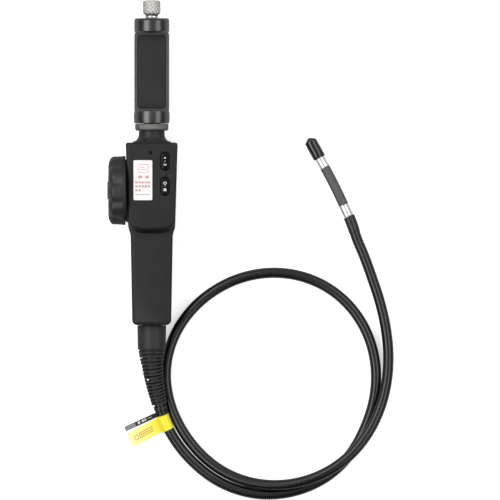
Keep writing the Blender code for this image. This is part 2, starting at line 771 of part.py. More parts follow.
def build_top_jaw():
    low, high = TOP_JAW_Y
    profile = [
        (low, 0), (low, JAW_R - JAW_RIM), (low + 0.7, JAW_R),
        (high - 0.7, JAW_R), (high, JAW_R - JAW_RIM), (high, 0),
    ]  # fmt: skip
    jaw = turned(profile, "Y", SWIVEL, 32)
    for x in ROD_X.values():
        jaw = cut(jaw, rod("Y", (x, 0, ROD_Z), low - 1, low + 6.0, ROD_R + GAP))
    jaw = cut(jaw, rod("Y", SWIVEL, low + 2.0, high + 1, 3.1))
    add_piece("top_jaw", jaw, ANODISED, (0, low, CLAMP_AXIS_Z))


def build_guide_rods():
    jaw_y = TOP_JAW_Y[0]
    for name, x in ROD_X.items():
        guide = rod("Y", (x, 0, ROD_Z), 77.0, jaw_y + 5.6, ROD_R)
        add_piece(f"guide_rod_{name}", guide, STEEL, (x, jaw_y, ROD_Z))


def transport(path):
    """Two cross directions at each point of a path, following it without twisting.
    The path must not start straight up or down."""
    last = len(path) - 1
    tangents = [
        (path[min(i + 1, last)] - path[max(i - 1, 0)]).normalized() for i in range(len(path))
    ]
    up = Vector((0, 0, 1))
    normal = (up - tangents[0] * up.dot(tangents[0])).normalized()
    frames = []
    for i, tangent in enumerate(tangents):
        if i:
            normal = tangents[i - 1].rotation_difference(tangent) @ normal
            normal = (normal - tangent * normal.dot(tangent)).normalized()
        frames.append((normal.copy(), tangent.cross(normal).normalized()))
    return frames


def swept(path, outer, sides, inner=None):
    """A round rod or, with an inner radius, a tube along a path.
    outer is one radius or a list with one for each point."""
    outer = outer if isinstance(outer, list) else [outer] * len(path)
    frames = transport(path)
    angles = [2 * math.pi * k / sides for k in range(sides)]
    bm = bmesh.new()

    def wall(radii):
        rings = [
            [bm.verts.new(p + n * r * math.cos(a) + b * r * math.sin(a)) for a in angles]
            for p, (n, b), r in zip(path, frames, radii)
        ]
        for first, second in zip(rings, rings[1:]):
            bridge(bm, first, second)
        return rings[0], rings[-1]

    outer_ends = wall(outer)
    if inner is None:
        for ring in outer_ends:
            bm.faces.new(ring)
    else:
        inner_ends = wall([inner] * len(path))
        for outer_ring, inner_ring in zip(outer_ends, inner_ends):
            bridge(bm, outer_ring, inner_ring)
    return to_mesh(bm)


def build_spring():
    low, high = SPRING_Y
    count = SPRING_TURNS * SPRING_STEPS
    path = []
    for i in range(count + 1):
        angle = 2 * math.pi * i / SPRING_STEPS
        x = SPRING_R * math.cos(angle)
        z = ROD_Z + SPRING_R * math.sin(angle)
        path.append(Vector((x, low + (high - low) * i / count, z)))
    add_piece("jaw_spring", swept(path, SPRING_WIRE_R, 4), STEEL, (0, low, ROD_Z))


def build_spindle():
    # (y, radius), with a collar just above the top jaw
    profile = [
        (132.5, 0), (132.5, 2.2), (133.1, 2.8), (141.5, 2.8), (141.5, 5.15),
        (143.3, 5.15), (143.3, 2.8), (151.6, 2.8), (151.6, 0),
    ]  # fmt: skip
    spindle = turned(profile, "Y", SWIVEL, 24)
    add_piece("knob_spindle", spindle, NICKEL, (0, 141.5, CLAMP_AXIS_Z))


def build_knob():
    low, high = KNOB_Y
    bore_r, floor_y = 3.1, high - 4.0
    profile = [
        (low, bore_r), (low, KNOB_R - KNOB_RIM), (low + KNOB_RIM, KNOB_R),
        (high - KNOB_RIM, KNOB_R), (high, KNOB_R - KNOB_RIM), (high, 0),
        (floor_y, 0), (floor_y, bore_r),
    ]  # fmt: skip
    knob = turned(profile, "Y", SWIVEL, FLUTE_STEPS, hollow=True, shape=notched(6.8, 0.4))
    add_piece("clamp_knob", knob, NICKEL, (0, low, CLAMP_AXIS_Z))


# ---------------------------------------------------------------- the lay of the insertion tube
def hermite(t, start, start_slope, end, end_slope):
    """Cubic from start to end, for numbers or vectors."""
    return (
        start * (2 * t**3 - 3 * t**2 + 1)
        + start_slope * (t**3 - 2 * t**2 + t)
        + end * (-2 * t**3 + 3 * t**2)
        + end_slope * (t**3 - t**2)
    )


def lay_slope(k):
    """Change of radius per degree at a laid point, from its neighbours."""
    angle0, r0 = LAY[max(k - 1, 0)]
    angle1, r1 = LAY[min(k + 1, len(LAY) - 1)]
    return (r1 - r0) / (angle1 - angle0)


def lay_radius(angle):
    """Smooth radius between the laid points."""
    spans = range(len(LAY) - 1)
    i = next((k for k in spans if angle <= LAY[k + 1][0]), spans[-1])
    angle0, r0 = LAY[i]
    angle1, r1 = LAY[i + 1]
    span = angle1 - angle0
    t = (angle - angle0) / span
    return hermite(t, r0, lay_slope(i) * span, r1, lay_slope(i + 1) * span)


def lay_height(angle):
    """Down from the strain relief, flat on the bench, over the first pass where they cross,
    and up to the tip."""
    z = TUBE_REST_Z
    t = (angle - FIRST_ANGLE) / DESCENT_SPAN
    if t < 1:
        z += (EXIT_Z - TUBE_REST_Z) * (1 - t) ** 2
    off = abs(angle - CROSS_ANGLE) / CROSS_HALF_SPAN
    if off < 1:
        z += CROSS_RISE * math.cos(math.pi / 2 * off) ** 2
    t = (angle - TIP_RISE_ANGLE) / (LAST_ANGLE - TIP_RISE_ANGLE)
    if t > 0:
        z += (TIP_Z - TUBE_REST_Z) * smoothstep(t)
    return z


def lay_point(angle):
    turn = math.radians(angle)
    r = lay_radius(angle)
    x = LOOP_CENTRE[0] - r * math.cos(turn)
    y = LOOP_CENTRE[1] - r * math.sin(turn)
    return Vector((x, y, lay_height(angle)))


def lead_points():
    """From the straight part of the strain relief to the first laid point."""
    start = Vector((0, BOOT_STRAIGHT_Y, CABLE_EXIT_Z))
    end = lay_point(FIRST_ANGLE)
    end_dir = (lay_point(FIRST_ANGLE + 1.0) - end).normalized()
    reach = (end - start).length
    start_slope = Vector((0, -1, 0)) * reach
    return [
        hermite(i / LEAD_STEPS, start, start_slope, end, end_dir * reach)
        for i in range(LEAD_STEPS + 1)
    ]


def evenly(points, step):
    """The same path with equal steps."""
    total = sum((b - a).length for a, b in zip(points, points[1:]))
    count = max(1, round(total / step))
    spacing = total / count
    spaced = [points[0].copy()]
    passed = 0.0
    target = spacing
    for a, b in zip(points, points[1:]):
        length = (b - a).length
        while passed + length >= target - 1e-9 and len(spaced) < count:
            spaced.append(a.lerp(b, (target - passed) / length))
            target += spacing
        passed += length
    spaced.append(points[-1].copy())
    return spaced


def lay_span(start, end, step):
    n = 40
    return evenly([lay_point(start + (end - start) * i / n) for i in range(n + 1)], step)


def heading_dir(heading):
    angle = math.radians(heading)
    return Vector((-math.sin(angle), math.cos(angle), 0))


BASE_START = lay_point(LAST_ANGLE)
BASE_DIR = heading_dir(BASE_HEADING)
TUBE_END = BASE_START - BASE_DIR * GAP


def build_insertion_tube():
    inside = [Vector((0, y, CABLE_EXIT_Z)) for y in (-98.0, -110.0, -120.0)]
    span = LAST_ANGLE - FIRST_ANGLE
    laid = [lay_point(FIRST_ANGLE + span * i / LAY_STEPS) for i in range(1, LAY_STEPS)]
    path = evenly(inside + lead_points() + laid + [TUBE_END], TUBE_STEP)
    add_piece("insertion_tube", swept(path, TUBE_R, 8), BLACK_RUBBER)


def build_strain_relief():
    """A plain cuff and a taper, round the tube."""
    # (y, outer radius) of the straight part
    cuff = [
        (-107.9, 7.4), (-108.1, 7.4), (-108.3, 7.9), (-110.6, 7.9),
        (-110.7, 11.8), (-130.6, 11.5), (BOOT_STRAIGHT_Y, 11.1),
    ]  # fmt: skip
    path = [Vector((0, y, CABLE_EXIT_Z)) for y, _ in cuff]
    radii = [r for _, r in cuff]
    taper = evenly(lead_points(), TAPER_STEP)[1:]
    for i, point in enumerate(taper, 1):
        path.append(point)
        t = i / len(taper)
        radii.append(TAPER_START_R + (TAPER_END_R - TAPER_START_R) * t**TAPER_POWER)
    relief = swept(path, radii, 18, inner=TUBE_R + GAP + 0.25)
    add_piece("strain_relief", relief, BLACK_RUBBER)


def build_relief_collet():
    collet = swept(lay_span(13.6, 15.9, 3.0), 5.4, 18, inner=TUBE_R + GAP)
    add_piece("relief_collet", collet, BLACK_GLOSS)


def tail_corners(start, end, skew):
    """Four corners of a tail that leaves the tube square to it and swings by skew degrees."""
    a, b = lay_point(start), lay_point(end)
    along = (b - a).normalized()
    away = Vector((along.y, -along.x, 0)).normalized()
    away = Matrix.Rotation(math.radians(skew), 3, "Z") @ away
    far_a = a + away * TAG_RUN
    far_b = b + away * TAG_RUN
    return [
        (a.x, a.y, a.z),
        (b.x, b.y, b.z),
        (far_b.x, far_b.y, b.z - TAG_DROP),
        (far_a.x, far_a.y, a.z - TAG_DROP - TAG_TILT),
    ]


def build_tag(name, wrap_span, tail_span, skew, mat):
    """Flag tag: a wrap round the tube with a flat tail. Spans are (start, end) lay angles."""
    start, end = wrap_span
    wrap = swept(lay_span(start, end, TAG_STEP), WRAP_R, 20, inner=TUBE_R + GAP + 0.05)
    corners = tail_corners(*tail_span, skew)
    half = TAG_THICKNESS / 2
    tail = to_mesh(lofted([[(x, y, z + side * half) for x, y, z in corners] for side in (-1, 1)]))
    core = swept(lay_span(start - 2, end + 2, TAG_STEP), TUBE_R + GAP + 0.06, 20)
    add_piece(name, join(wrap, cut(tail, core)), mat, smooth=25)


def build_heat_shrink():
    path = [lay_point(LAST_ANGLE - SHRINK_SPAN + SHRINK_SPAN * i / 4) for i in range(4)]
    path.append(TUBE_END)
    add_piece("heat_shrink", swept(path, WRAP_R, 14, inner=TUBE_R + GAP), BLACK_RUBBER)


# ---------------------------------------------------------------- bending section
def placed(mesh, pivot, heading):
    """Moves a mesh made along +Y from the origin to a pivot and turns it to a heading."""
    turn = Matrix.Rotation(math.radians(heading), 4, "Z")
    mesh.transform(Matrix.Translation(pivot) @ turn)
    return mesh


def tip_ring(profile, segments=16):
    return turned(profile, "Y", (0, 0, 0), segments, hollow=True)


def on_side(span, side):
    """A (low, high) height span, mirrored in Z for side -1."""
    low, high = span
    return (low, high) if side > 0 else (-high, -low)


def ear(root, pivot, span, side):
    """A flat ear with a round end about the pivot, on the +Z or -Z side."""
    way = 1 if pivot > root else -1
    outline = [(-EAR_R, root), (EAR_R, root)] + arc(0, pivot, EAR_R, 0, 180 * way, 4)
    return prism(outline, *on_side(span, side))


def front_ears(mesh, tube_end, pivot):
    """Adds the outer ears, with pin holes, at the far end of a tube."""
    for side in (1, -1):
        low, high = on_side(EAR_OUT_Z, side)
        hole = rod("Z", (0, pivot, 0), low - 1, high + 1, EAR_HOLE_R, 8)
        mesh = join(mesh, cut(ear(tube_end - EAR_ROOT, pivot, EAR_OUT_Z, side), hole))
    return mesh


def rear_ears(mesh):
    """Adds the inner ears and their pins at the near end of a tube, about the origin."""
    for side in (1, -1):
        mesh = join(mesh, ear(LINK_CLEAR + EAR_ROOT, 0.0, EAR_IN_Z, side))
        mesh = join(mesh, rod("Z", (0, 0, 0), *on_side(PIN_Z, side), PIN_R, 6))
    return mesh


def build_base_ring():
    """The ring at the end of the tube, with the stub that carries the first joint."""
    first_pivot = BASE_RING_L + PITCH / 2
    stub_end = first_pivot - LINK_CLEAR
    ring = tip_ring([
        (0, LINK_BORE_R),
        (0, TIP_R - TIP_EDGE),
        (TIP_EDGE, TIP_R),
        (BASE_RING_L - TIP_EDGE, TIP_R),
        (BASE_RING_L, TIP_R - TIP_EDGE),
        (BASE_RING_L, LINK_R),
        (stub_end, LINK_R),
        (stub_end, LINK_BORE_R),
    ])
    ring = front_ears(ring, stub_end, first_pivot)
    add_piece("base_ring", placed(ring, BASE_START, BASE_HEADING), STEEL, smooth=30)


def build_link(k, pivot, heading):
    """One link of the bending section and its sleeve."""
    low, high = LINK_CLEAR, PITCH - LINK_CLEAR
    link = tip_ring([(low, LINK_BORE_R), (low, LINK_R), (high, LINK_R), (high, LINK_BORE_R)])
    link = rear_ears(front_ears(link, high, PITCH))
    add_piece(f"bend_link_{k}", placed(link, pivot, heading), STEEL, pivot)

    low, high, bore_r = low + 0.05, high - 0.05, LINK_R + 0.15
    cover = tip_ring([(low, bore_r), (low, TIP_R), (high, TIP_R), (high, bore_r)])
    add_piece(f"sheath_{k}", placed(cover, pivot, heading), BRAID, pivot)


def build_camera_head(pivot, heading):
    nose_edge, nose_bore_r, nose_depth = 0.4, 3.1, 8.0
    head = tip_ring([
        (LINK_CLEAR, LINK_BORE_R),
        (LINK_CLEAR, LINK_R),
        (HEAD_START, LINK_R),
        (HEAD_START, TIP_R - TIP_EDGE),
        (HEAD_START + TIP_EDGE, TIP_R),
        (HEAD_END - nose_edge, TIP_R),
        (HEAD_END, TIP_R - nose_edge),
        (HEAD_END, nose_bore_r),
        (HEAD_END - nose_depth, nose_bore_r),
        (HEAD_END - nose_depth, LINK_BORE_R),
    ])
    head = placed(rear_ears(head), pivot, heading)
    add_piece("camera_head", head, STEEL, pivot, smooth=30)


def build_nose_parts(pivot, heading):
    """The lens, the light ring round it and the sensor board behind it."""
    # (distance back from the nose, radius)
    lens_stations = [(5.2, 0), (5.2, 1.5), (0.7, 1.5), (0.3, 1.0), (0.15, 0)]
    lens = turned([(HEAD_END - back, r) for back, r in lens_stations], "Y", (0, 0, 0), 16)
    add_piece("lens", placed(lens, pivot, heading), GLASS, pivot)

    ring_stations = [(1.6, 1.8), (1.6, 2.8), (0.4, 2.8), (0.4, 1.8)]
    ring = tip_ring([(HEAD_END - back, r) for back, r in ring_stations], 20)
    add_piece("light_ring", placed(ring, pivot, heading), PALE, pivot)

    sensor = rod("Y", (0, 0, 0), HEAD_END - 7.0, HEAD_END - 5.6, 2.7)
    add_piece("sensor_board", placed(sensor, pivot, heading), BOARD, pivot)


def build_tip_cap(pivot, heading):
    low = HEAD_START + HEAD_RING_L
    cone_start = low + CAP_CYL_L
    bore_r, floor = TIP_R + GAP, HEAD_END + 0.8
    cap = tip_ring([
        (low, bore_r),
        (low, CAP_R - 0.5),
        (low + 0.4, CAP_R),
        (cone_start, CAP_R),
        (cone_start + CAP_CONE_L * 0.8, 1.3),
        (cone_start + CAP_CONE_L, 0),
        (floor, 0),
        (floor, bore_r),
    ], 20)
    add_piece("tip_cap", placed(cap, pivot, heading), BLACK_GLOSS, pivot)


def build_tip():
    build_base_ring()
    turn = (HEAD_HEADING - BASE_HEADING) / BEND_JOINTS
    pivot = BASE_START + BASE_DIR * (BASE_RING_L + PITCH / 2)
    heading = BASE_HEADING
    for k in range(1, BEND_JOINTS):
        heading += turn
        build_link(k, pivot, heading)
        pivot = pivot + heading_dir(heading) * PITCH
    heading += turn
    build_camera_head(pivot, heading)
    build_nose_parts(pivot, heading)
    build_tip_cap(pivot, heading)


# ---------------------------------------------------------------- build
build_front_shell()
build_rear_shell()
build_case_screws()

build_board()
build_switches()
build_charge_socket()
build_battery()
build_light_pipe()
build_label()
build_wire_guide()
build_cable_clamp()

build_wheel()
build_shaft()
build_wheel_screw()
build_drum()
build_bush("bush_outer", -20.6, -17.6, -16.2)
build_bush("bush_inner", 1.6, 5.3, 6.4)
build_pull_wires()
build_buttons()

build_clamp_socket()
build_lock_ring()
build_lower_jaw()
build_rail()
build_pad()
build_top_jaw()
build_guide_rods()
build_spring()
build_spindle()
build_knob()

build_insertion_tube()
build_strain_relief()
build_relief_collet()
build_tag("tag_yellow", (18.4, 26.2), (18.6, 26.0), 5.0, YELLOW)
build_tag("tag_black", (16.3, 18.1), (15.9, 18.0), 7.0, BLACK_GLOSS)
build_heat_shrink()
build_tip()
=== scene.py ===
"""The looks of the inspection camera: fine surfaces and procedural materials round its CAD frame.

Lengths are in millimetres until a mesh is placed. The handle lies along Y with its back on z = 0
and its buttons facing +Z. The phone clamp is at its +Y end and the steering wheel on its -X side.
The insertion tube leaves the -Y end and is coiled on the floor towards +X.
"""

import json
import math

import bmesh
import bpy
import numpy as np
from mathutils import Matrix, Vector


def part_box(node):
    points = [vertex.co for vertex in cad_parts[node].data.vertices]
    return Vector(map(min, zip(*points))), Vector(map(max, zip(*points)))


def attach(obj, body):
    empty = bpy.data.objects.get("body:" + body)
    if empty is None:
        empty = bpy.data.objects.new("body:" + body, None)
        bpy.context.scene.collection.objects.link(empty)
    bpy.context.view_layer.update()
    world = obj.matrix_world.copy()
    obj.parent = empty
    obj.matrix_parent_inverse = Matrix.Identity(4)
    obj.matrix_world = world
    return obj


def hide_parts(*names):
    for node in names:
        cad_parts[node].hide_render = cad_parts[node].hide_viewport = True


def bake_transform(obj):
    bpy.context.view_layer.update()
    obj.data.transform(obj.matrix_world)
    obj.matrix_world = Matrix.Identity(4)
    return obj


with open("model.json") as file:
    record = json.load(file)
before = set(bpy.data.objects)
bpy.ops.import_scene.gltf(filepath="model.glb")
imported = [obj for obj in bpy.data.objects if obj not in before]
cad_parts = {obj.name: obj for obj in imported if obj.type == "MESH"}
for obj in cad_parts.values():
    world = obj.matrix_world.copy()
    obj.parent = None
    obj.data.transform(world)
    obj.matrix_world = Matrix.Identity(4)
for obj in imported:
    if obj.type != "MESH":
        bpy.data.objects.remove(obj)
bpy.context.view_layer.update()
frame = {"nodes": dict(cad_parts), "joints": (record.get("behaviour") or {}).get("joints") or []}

MM = 0.001
ORIGIN = (0, 0, 0)
JOINT = {joint["name"]: joint for joint in frame["joints"]}


def corners(node):
    """A CAD node's lowest and highest corner."""
    low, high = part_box(node)
    return low / MM, high / MM


def middle(node):
    return [(a + b) / 2 for a, b in zip(*corners(node))]


def joint_place(name):
    return np.array(JOINT[name]["pos_m"]) / MM


# ================================================================ shader nodes
def grey(value):
    return (value, value, value)


def shades(colour, darker, paler):
    """A colour made darker and paler by two factors."""
    return tuple(c * darker for c in colour), tuple(min(1.0, c * paler) for c in colour)


class Nodes:
    """A node tree, with short ways to add nodes. Each way returns the new node's output."""

    def __init__(self, tree):
        self.nodes, self.links = tree.nodes, tree.links

    def feed(self, node, inputs):
        """Links the inputs given a socket, and sets the others. Colours are given without alpha."""
        for key, value in inputs.items():
            socket = node.inputs[key]
            if isinstance(value, bpy.types.NodeSocket):
                self.links.new(value, socket)
            else:
                socket.default_value = (*value, 1) if socket.type == "RGBA" else value

    def add(self, kind, output, inputs=None, **settings):
        node = self.nodes.new("ShaderNode" + kind)
        for key, value in settings.items():
            setattr(node, key, value)
        self.feed(node, inputs or {})
        return node.outputs[output]

    def mix(self, factor, first, second, blend="MIX"):
        inputs = {"Factor": factor, "A": first, "B": second}
        return self.add("Mix", "Result", inputs, data_type="RGBA", blend_type=blend)

    def ramp(self, source, low, high, start=0.3, end=0.7, between=(), interpolation="LINEAR"):
        """A colour ramp. between holds (position, colour) stops inside it."""
        node = self.nodes.new("ShaderNodeValToRGB")
        stops = node.color_ramp
        stops.interpolation = interpolation
        stops.elements[0].position = start
        stops.elements[1].position = end
        stops.elements[0].color = (*low, 1)
        stops.elements[1].color = (*high, 1)
        for position, colour in between:
            stops.elements.new(position).color = (*colour, 1)
        self.links.new(source, node.inputs["Fac"])
        return node.outputs["Color"]

    def span(self, source, low, high, start=0.0, end=1.0):
        """Maps start..end of the source onto low..high."""
        inputs = {"Value": source, "From Min": start, "From Max": end, "To Min": low, "To Max": high}
        return self.add("MapRange", "Result", inputs)

    def noise(self, scale, detail=2.0, rough=0.5, stretch=None):
        """3-D noise in object space. scale is in features a metre."""
        place = self.add("TexCoord", "Object")
        if stretch:
            place = self.add("Mapping", "Vector", {"Vector": place, "Scale": stretch})
        inputs = {"Vector": place, "Scale": scale, "Detail": detail, "Roughness": rough}
        return self.add("TexNoise", "Fac", inputs)

    def bump(self, source, strength, distance):
        """distance is in metres."""
        inputs = {"Height": source, "Strength": strength, "Distance": distance}
        return self.add("Bump", "Normal", inputs)


class Surface(Nodes):
    """A new material and its shader."""

    def __init__(self, name):
        self.material = bpy.data.materials.new(name)
        self.material.use_nodes = True
        super().__init__(self.material.node_tree)
        self.shader = self.nodes["Principled BSDF"]

    def shade(self, inputs):
        self.feed(self.shader, inputs)
        return self


# ================================================================ kinds of surface
def moulded(name, colour, rough, grain=2600.0, depth=0.00004, edge=0.0, spec=0.5, coat=0.0):
    """Moulded plastic or rubber: fine spark-eroded grain, faint cloudiness, sharp edges paled as a
    painted edge highlight.
    """
    s = Surface(name)
    cloud = s.noise(scale=55.0, detail=3.0)
    fine = s.noise(scale=grain, detail=3.0, rough=0.6)
    tint = s.ramp(cloud, *shades(colour, darker=0.86, paler=1.16))
    # Painted highlight: the pointiness of sharp convex edges pales the colour there, as if light caught
    # the rounded rims.
    if edge > 0:
        sharpness = s.add("NewGeometry", "Pointiness")
        edge_highlight = s.span(sharpness, low=0.0, high=edge, start=0.515, end=0.60)
        tint = s.mix(edge_highlight, tint, tuple(min(1.0, c * 2.6 + 0.02) for c in colour))
    return s.shade({
        "Base Color": tint,
        "Roughness": s.span(fine, low=rough - 0.07, high=rough + 0.08, start=0.3, end=0.7),
        "Normal": s.bump(fine, strength=0.55, distance=depth),
        "Specular IOR Level": spec,
        "Coat Weight": coat,
        "Coat Roughness": 0.08,
    })


def glossy(name, colour, rough=0.1, spec=0.5, waviness=0.00002, coat=0.3):
    """Polished plastic or film: even and bright, with a very slight orange-peel."""
    s = Surface(name)
    cloud = s.noise(scale=90.0)
    peel = s.noise(scale=420.0, detail=1.0)
    specks = s.noise(scale=5200.0, rough=0.7)
    return s.shade({
        "Base Color": s.ramp(cloud, *shades(colour, darker=0.92, paler=1.08)),
        "Roughness": s.span(specks, low=rough, high=rough + 0.07, start=0.45, end=0.75),
        "Normal": s.bump(peel, strength=0.3, distance=waviness),
        "Specular IOR Level": spec,
        "Coat Weight": coat,
        "Coat Roughness": 0.05,
    })


def metal(name, colour, rough, lines, scale=900.0, depth=0.00001, metallic=1.0, spec=0.5, coat=0.0):
    """Turned or brushed metal. lines stretches the tool marks along X, Y and Z."""
    s = Surface(name)
    cloud = s.noise(scale=70.0, detail=3.0)
    marks = s.noise(scale=scale, detail=4.0, rough=0.65, stretch=lines)
    return s.shade({
        "Base Color": s.ramp(cloud, *shades(colour, darker=0.88, paler=1.1)),
        "Roughness": s.span(marks, low=rough - 0.06, high=rough + 0.1, start=0.25, end=0.75),
        "Normal": s.bump(marks, strength=0.35, distance=depth),
        "Metallic": metallic,
        "Specular IOR Level": spec,
        "Coat Weight": coat,
        "Coat Roughness": 0.06,
    })


def woven(name):
    """Fine woven braid: paler strand crowns over gaps darkened as painted shade, sides darkened as
    painted shade where they turn from view, and a dry metallic sheen.
    """
    s = Surface(name)
    crown = s.add("Attribute", "Fac", attribute_name="crown")
    # Painted shade: the gaps between the strands are coloured near black, and the crowns are paler.
    strands_and_gap_shade = s.ramp(crown, grey(0.018), (0.155, 0.155, 0.15), start=0.15, end=0.85)
    cloud = s.ramp(s.noise(scale=260.0, detail=3.0), grey(0.7), (1.2, 1.2, 1.18))
    clouded = s.mix(0.5, strands_and_gap_shade, cloud, blend="MULTIPLY")
    # Painted shade: the colour darkens where the surface turns away from the view, towards the braid's
    # sides.
    facing = s.add("LayerWeight", "Facing", {"Blend": 0.5})
    side = s.span(facing, low=0.12, high=0.45, start=0.0, end=0.9)
    fine = s.noise(scale=6000.0, detail=3.0, rough=0.7)
    return s.shade({
        "Base Color": s.mix(side, clouded, grey(0.012)),
        "Roughness": s.span(fine, low=0.4, high=0.6, start=0.3, end=0.7),
        "Normal": s.bump(fine, strength=0.5, distance=0.00003),
        "Metallic": 0.25,
        "Sheen Weight": 0.03,
        "Sheen Roughness": 0.4,
    })


PRINT = {"spec": 0.3, "waviness": 0.00001, "coat": 0.0}
TURNED = {"scale": 700.0, "depth": 0.000006}
LOOKS = {
    "shell": moulded("shell_plastic", (0.0092, 0.0090, 0.0084), rough=0.50, edge=0.4, spec=0.32),
    "wheel": moulded(
        "wheel_plastic", (0.0105, 0.0103, 0.0097), rough=0.46, grain=2200.0, edge=0.4, spec=0.48
    ),
    "neck": moulded("neck_plastic", (0.012, 0.0117, 0.011), rough=0.48, edge=0.3, spec=0.42),
    "boot": moulded(
        "boot_rubber", (0.012, 0.0118, 0.011), rough=0.55, grain=1800.0, edge=0.3, spec=0.45
    ),
    "pad": moulded("pad_rubber", (0.0225, 0.0212, 0.0212), rough=0.72, grain=3000.0, spec=0.25),
    "tube": moulded(
        "tube_jacket", (0.0045, 0.0043, 0.0045),
        rough=0.25, grain=1500.0, depth=0.00002, spec=0.45, coat=0.15,
    ),
    "shrink": moulded("shrink_sleeve", (0.008, 0.0085, 0.008), rough=0.34, grain=900.0, depth=0.00006),
    "button": glossy("button_black", grey(0.003), rough=0.2, spec=0.22, coat=0.0),
    "ring": metal("satin_steel_ring", (0.86, 0.84, 0.82), rough=0.33, lines=(1, 7, 1), **TURNED),
    "gloss": glossy("gloss_black_plastic", grey(0.004)),
    "cap": glossy("cap_black_vinyl", grey(0.003), rough=0.14, waviness=0.00003),
    "anodised": metal(
        "anodised_gloss_black", (0.004, 0.004, 0.0036),
        rough=0.30, lines=(1, 9, 1), metallic=0.0, spec=0.9, coat=0.35, **TURNED,
    ),
    "rail": metal(
        "anodised_satin_black", (0.052, 0.052, 0.050),
        rough=0.36, lines=(8, 0.6, 8), metallic=0.0, spec=0.7,
    ),
    "lock": metal("anodised_satin_grey", (0.17, 0.17, 0.16), rough=0.36, lines=(1, 8, 1), metallic=0.8),
    "nickel": metal(
        "nickel_plate", (0.63, 0.61, 0.58), rough=0.38, lines=(1, 7, 1), scale=800.0, metallic=0.95
    ),
    "bright": metal("bright_steel", (0.86, 0.85, 0.84), rough=0.16, lines=(1, 7, 1), **TURNED),
    "steel": metal("turned_steel", (0.6, 0.6, 0.58), rough=0.3, lines=(7, 1, 7)),
    "brass": metal("turned_brass", (0.62, 0.47, 0.22), rough=0.3, lines=(7, 1, 7)),
    "board": glossy("solder_mask", (0.02, 0.13, 0.06), rough=0.35),
    "cell": glossy("cell_sleeve", (0.05, 0.12, 0.35), rough=0.3),
    "label": glossy("label_film", (0.84, 0.83, 0.82), rough=0.35, **PRINT),
    "ink_red": glossy("ink_red", (0.58, 0.33, 0.33), rough=0.4, **PRINT),
    # This grey serves as ink on the label and as painted glare on the black tag's end.
    "grey_ink_and_glare": glossy("grey_ink_and_glare", grey(0.22), rough=0.4, **PRINT),
    "ink_white": glossy("ink_white", grey(0.62), rough=0.35, **PRINT),
    "ink_orange": glossy("ink_orange", (0.46, 0.22, 0.03), rough=0.4, **PRINT),
    "yellow": glossy(
        "tag_film_yellow", (0.95, 0.80, 0.03), rough=0.3, spec=0.4, waviness=0.00003, coat=0.2
    ),
    "black_film": glossy(
        "tag_film_black", (0.009, 0.008, 0.007), rough=0.28, spec=0.35, waviness=0.00003, coat=0.05
    ),
    "light": glossy("light_window", (0.004, 0.004, 0.0045), rough=0.2, spec=0.25, coat=0.0),
    "lamp": glossy("lamp_diffuser", (0.82, 0.81, 0.76), rough=0.25),
    "glass": glossy(
        "lens_coating", (0.02, 0.03, 0.06), rough=0.03, spec=0.9, waviness=0.000004, coat=1.0
    ),
    "braid": woven("braid_weave"),
}


# ================================================================ outlines and curves
def smoothstep(t):
    return t * t * (3 - 2 * t)


def arc(cx, cy, radius, start, end, steps=7):
    """Points on a circle, from one angle to another in degrees."""
    angles = [math.radians(start + (end - start) * i / steps) for i in range(steps + 1)]
    return [(cx + radius * math.cos(a), cy + radius * math.sin(a)) for a in angles]


def rect(x0, y0, x1, y1):
    return [(x0, y0), (x1, y0), (x1, y1), (x0, y1)]


def round_rect(x0, y0, x1, y1, radius, steps=8):
    centres = (
        (x1 - radius, y1 - radius), (x0 + radius, y1 - radius),
        (x0 + radius, y0 + radius), (x1 - radius, y0 + radius),
    )
    points = []
    for i, (cx, cy) in enumerate(centres):
        points += arc(cx, cy, radius, 90 * i, 90 * i + 90, steps)
    return points


def pill(cx, cy, width, length):
    """A slot with round ends, long in Y."""
    radius = width / 2
    reach = length / 2 - radius
    upper = arc(cx, cy + reach, radius, 0, 180, 20)
    return upper + arc(cx, cy - reach, radius, 180, 360, 20)


def rounded(profile, radii, steps=5):
    """Rounds chosen corners of a polyline: radii maps a point's index to its fillet radius."""
    out = []
    for i, point in enumerate(profile):
        if i not in radii:
            out.append(point)
            continue
        point = Vector(point)
        before = Vector(profile[(i - 1) % len(profile)]) - point
        after = Vector(profile[(i + 1) % len(profile)]) - point
        back, ahead = before.normalized(), after.normalized()
        half = back.angle(ahead) / 2
        reach = min(radii[i] / math.tan(half), before.length * 0.49, after.length * 0.49)
        radius = reach * math.tan(half)
        centre = point + (back + ahead).normalized() * (radius / math.sin(half))
        start, end = point + back * reach - centre, point + ahead * reach - centre
        first = math.atan2(start.y, start.x)
        last = math.atan2(end.y, end.x)
        while last - first > math.pi:
            last -= 2 * math.pi
        while last - first < -math.pi:
            last += 2 * math.pi
        for k in range(steps + 1):
            a = first + (last - first) * k / steps
            out.append((centre.x + radius * math.cos(a), centre.y + radius * math.sin(a)))
    return out


# ================================================================ meshes
def finish_mesh(bm, mesh):
    """Writes a bmesh into a mesh with its faces turned to point out."""
    bmesh.ops.recalc_face_normals(bm, faces=bm.faces)
    if bm.calc_volume(signed=True) < 0:
        bmesh.ops.reverse_faces(bm, faces=bm.faces)
    bm.to_mesh(mesh)
    bm.free()
    return mesh


def solid(verts, faces):
    mesh = bpy.data.meshes.new("work")
    mesh.from_pydata([tuple(p) for p in verts], [], [tuple(f) for f in faces])
    bm = bmesh.new()
    bm.from_mesh(mesh)
    return finish_mesh(bm, mesh)


def skin(bm, rows, ring=False):
    """Faces between rows of vertices: a body with two end caps, or a ring closed on itself."""
    following = rows[1:]
    if ring:
        following = rows[1:] + rows[:1]
    else:
        bm.faces.new(rows[0])
        bm.faces.new(rows[-1])
    for one, two in zip(rows, following):
        for k in range(len(one)):
            m = (k + 1) % len(one)
            bm.faces.new((one[k], one[m], two[m], two[k]))


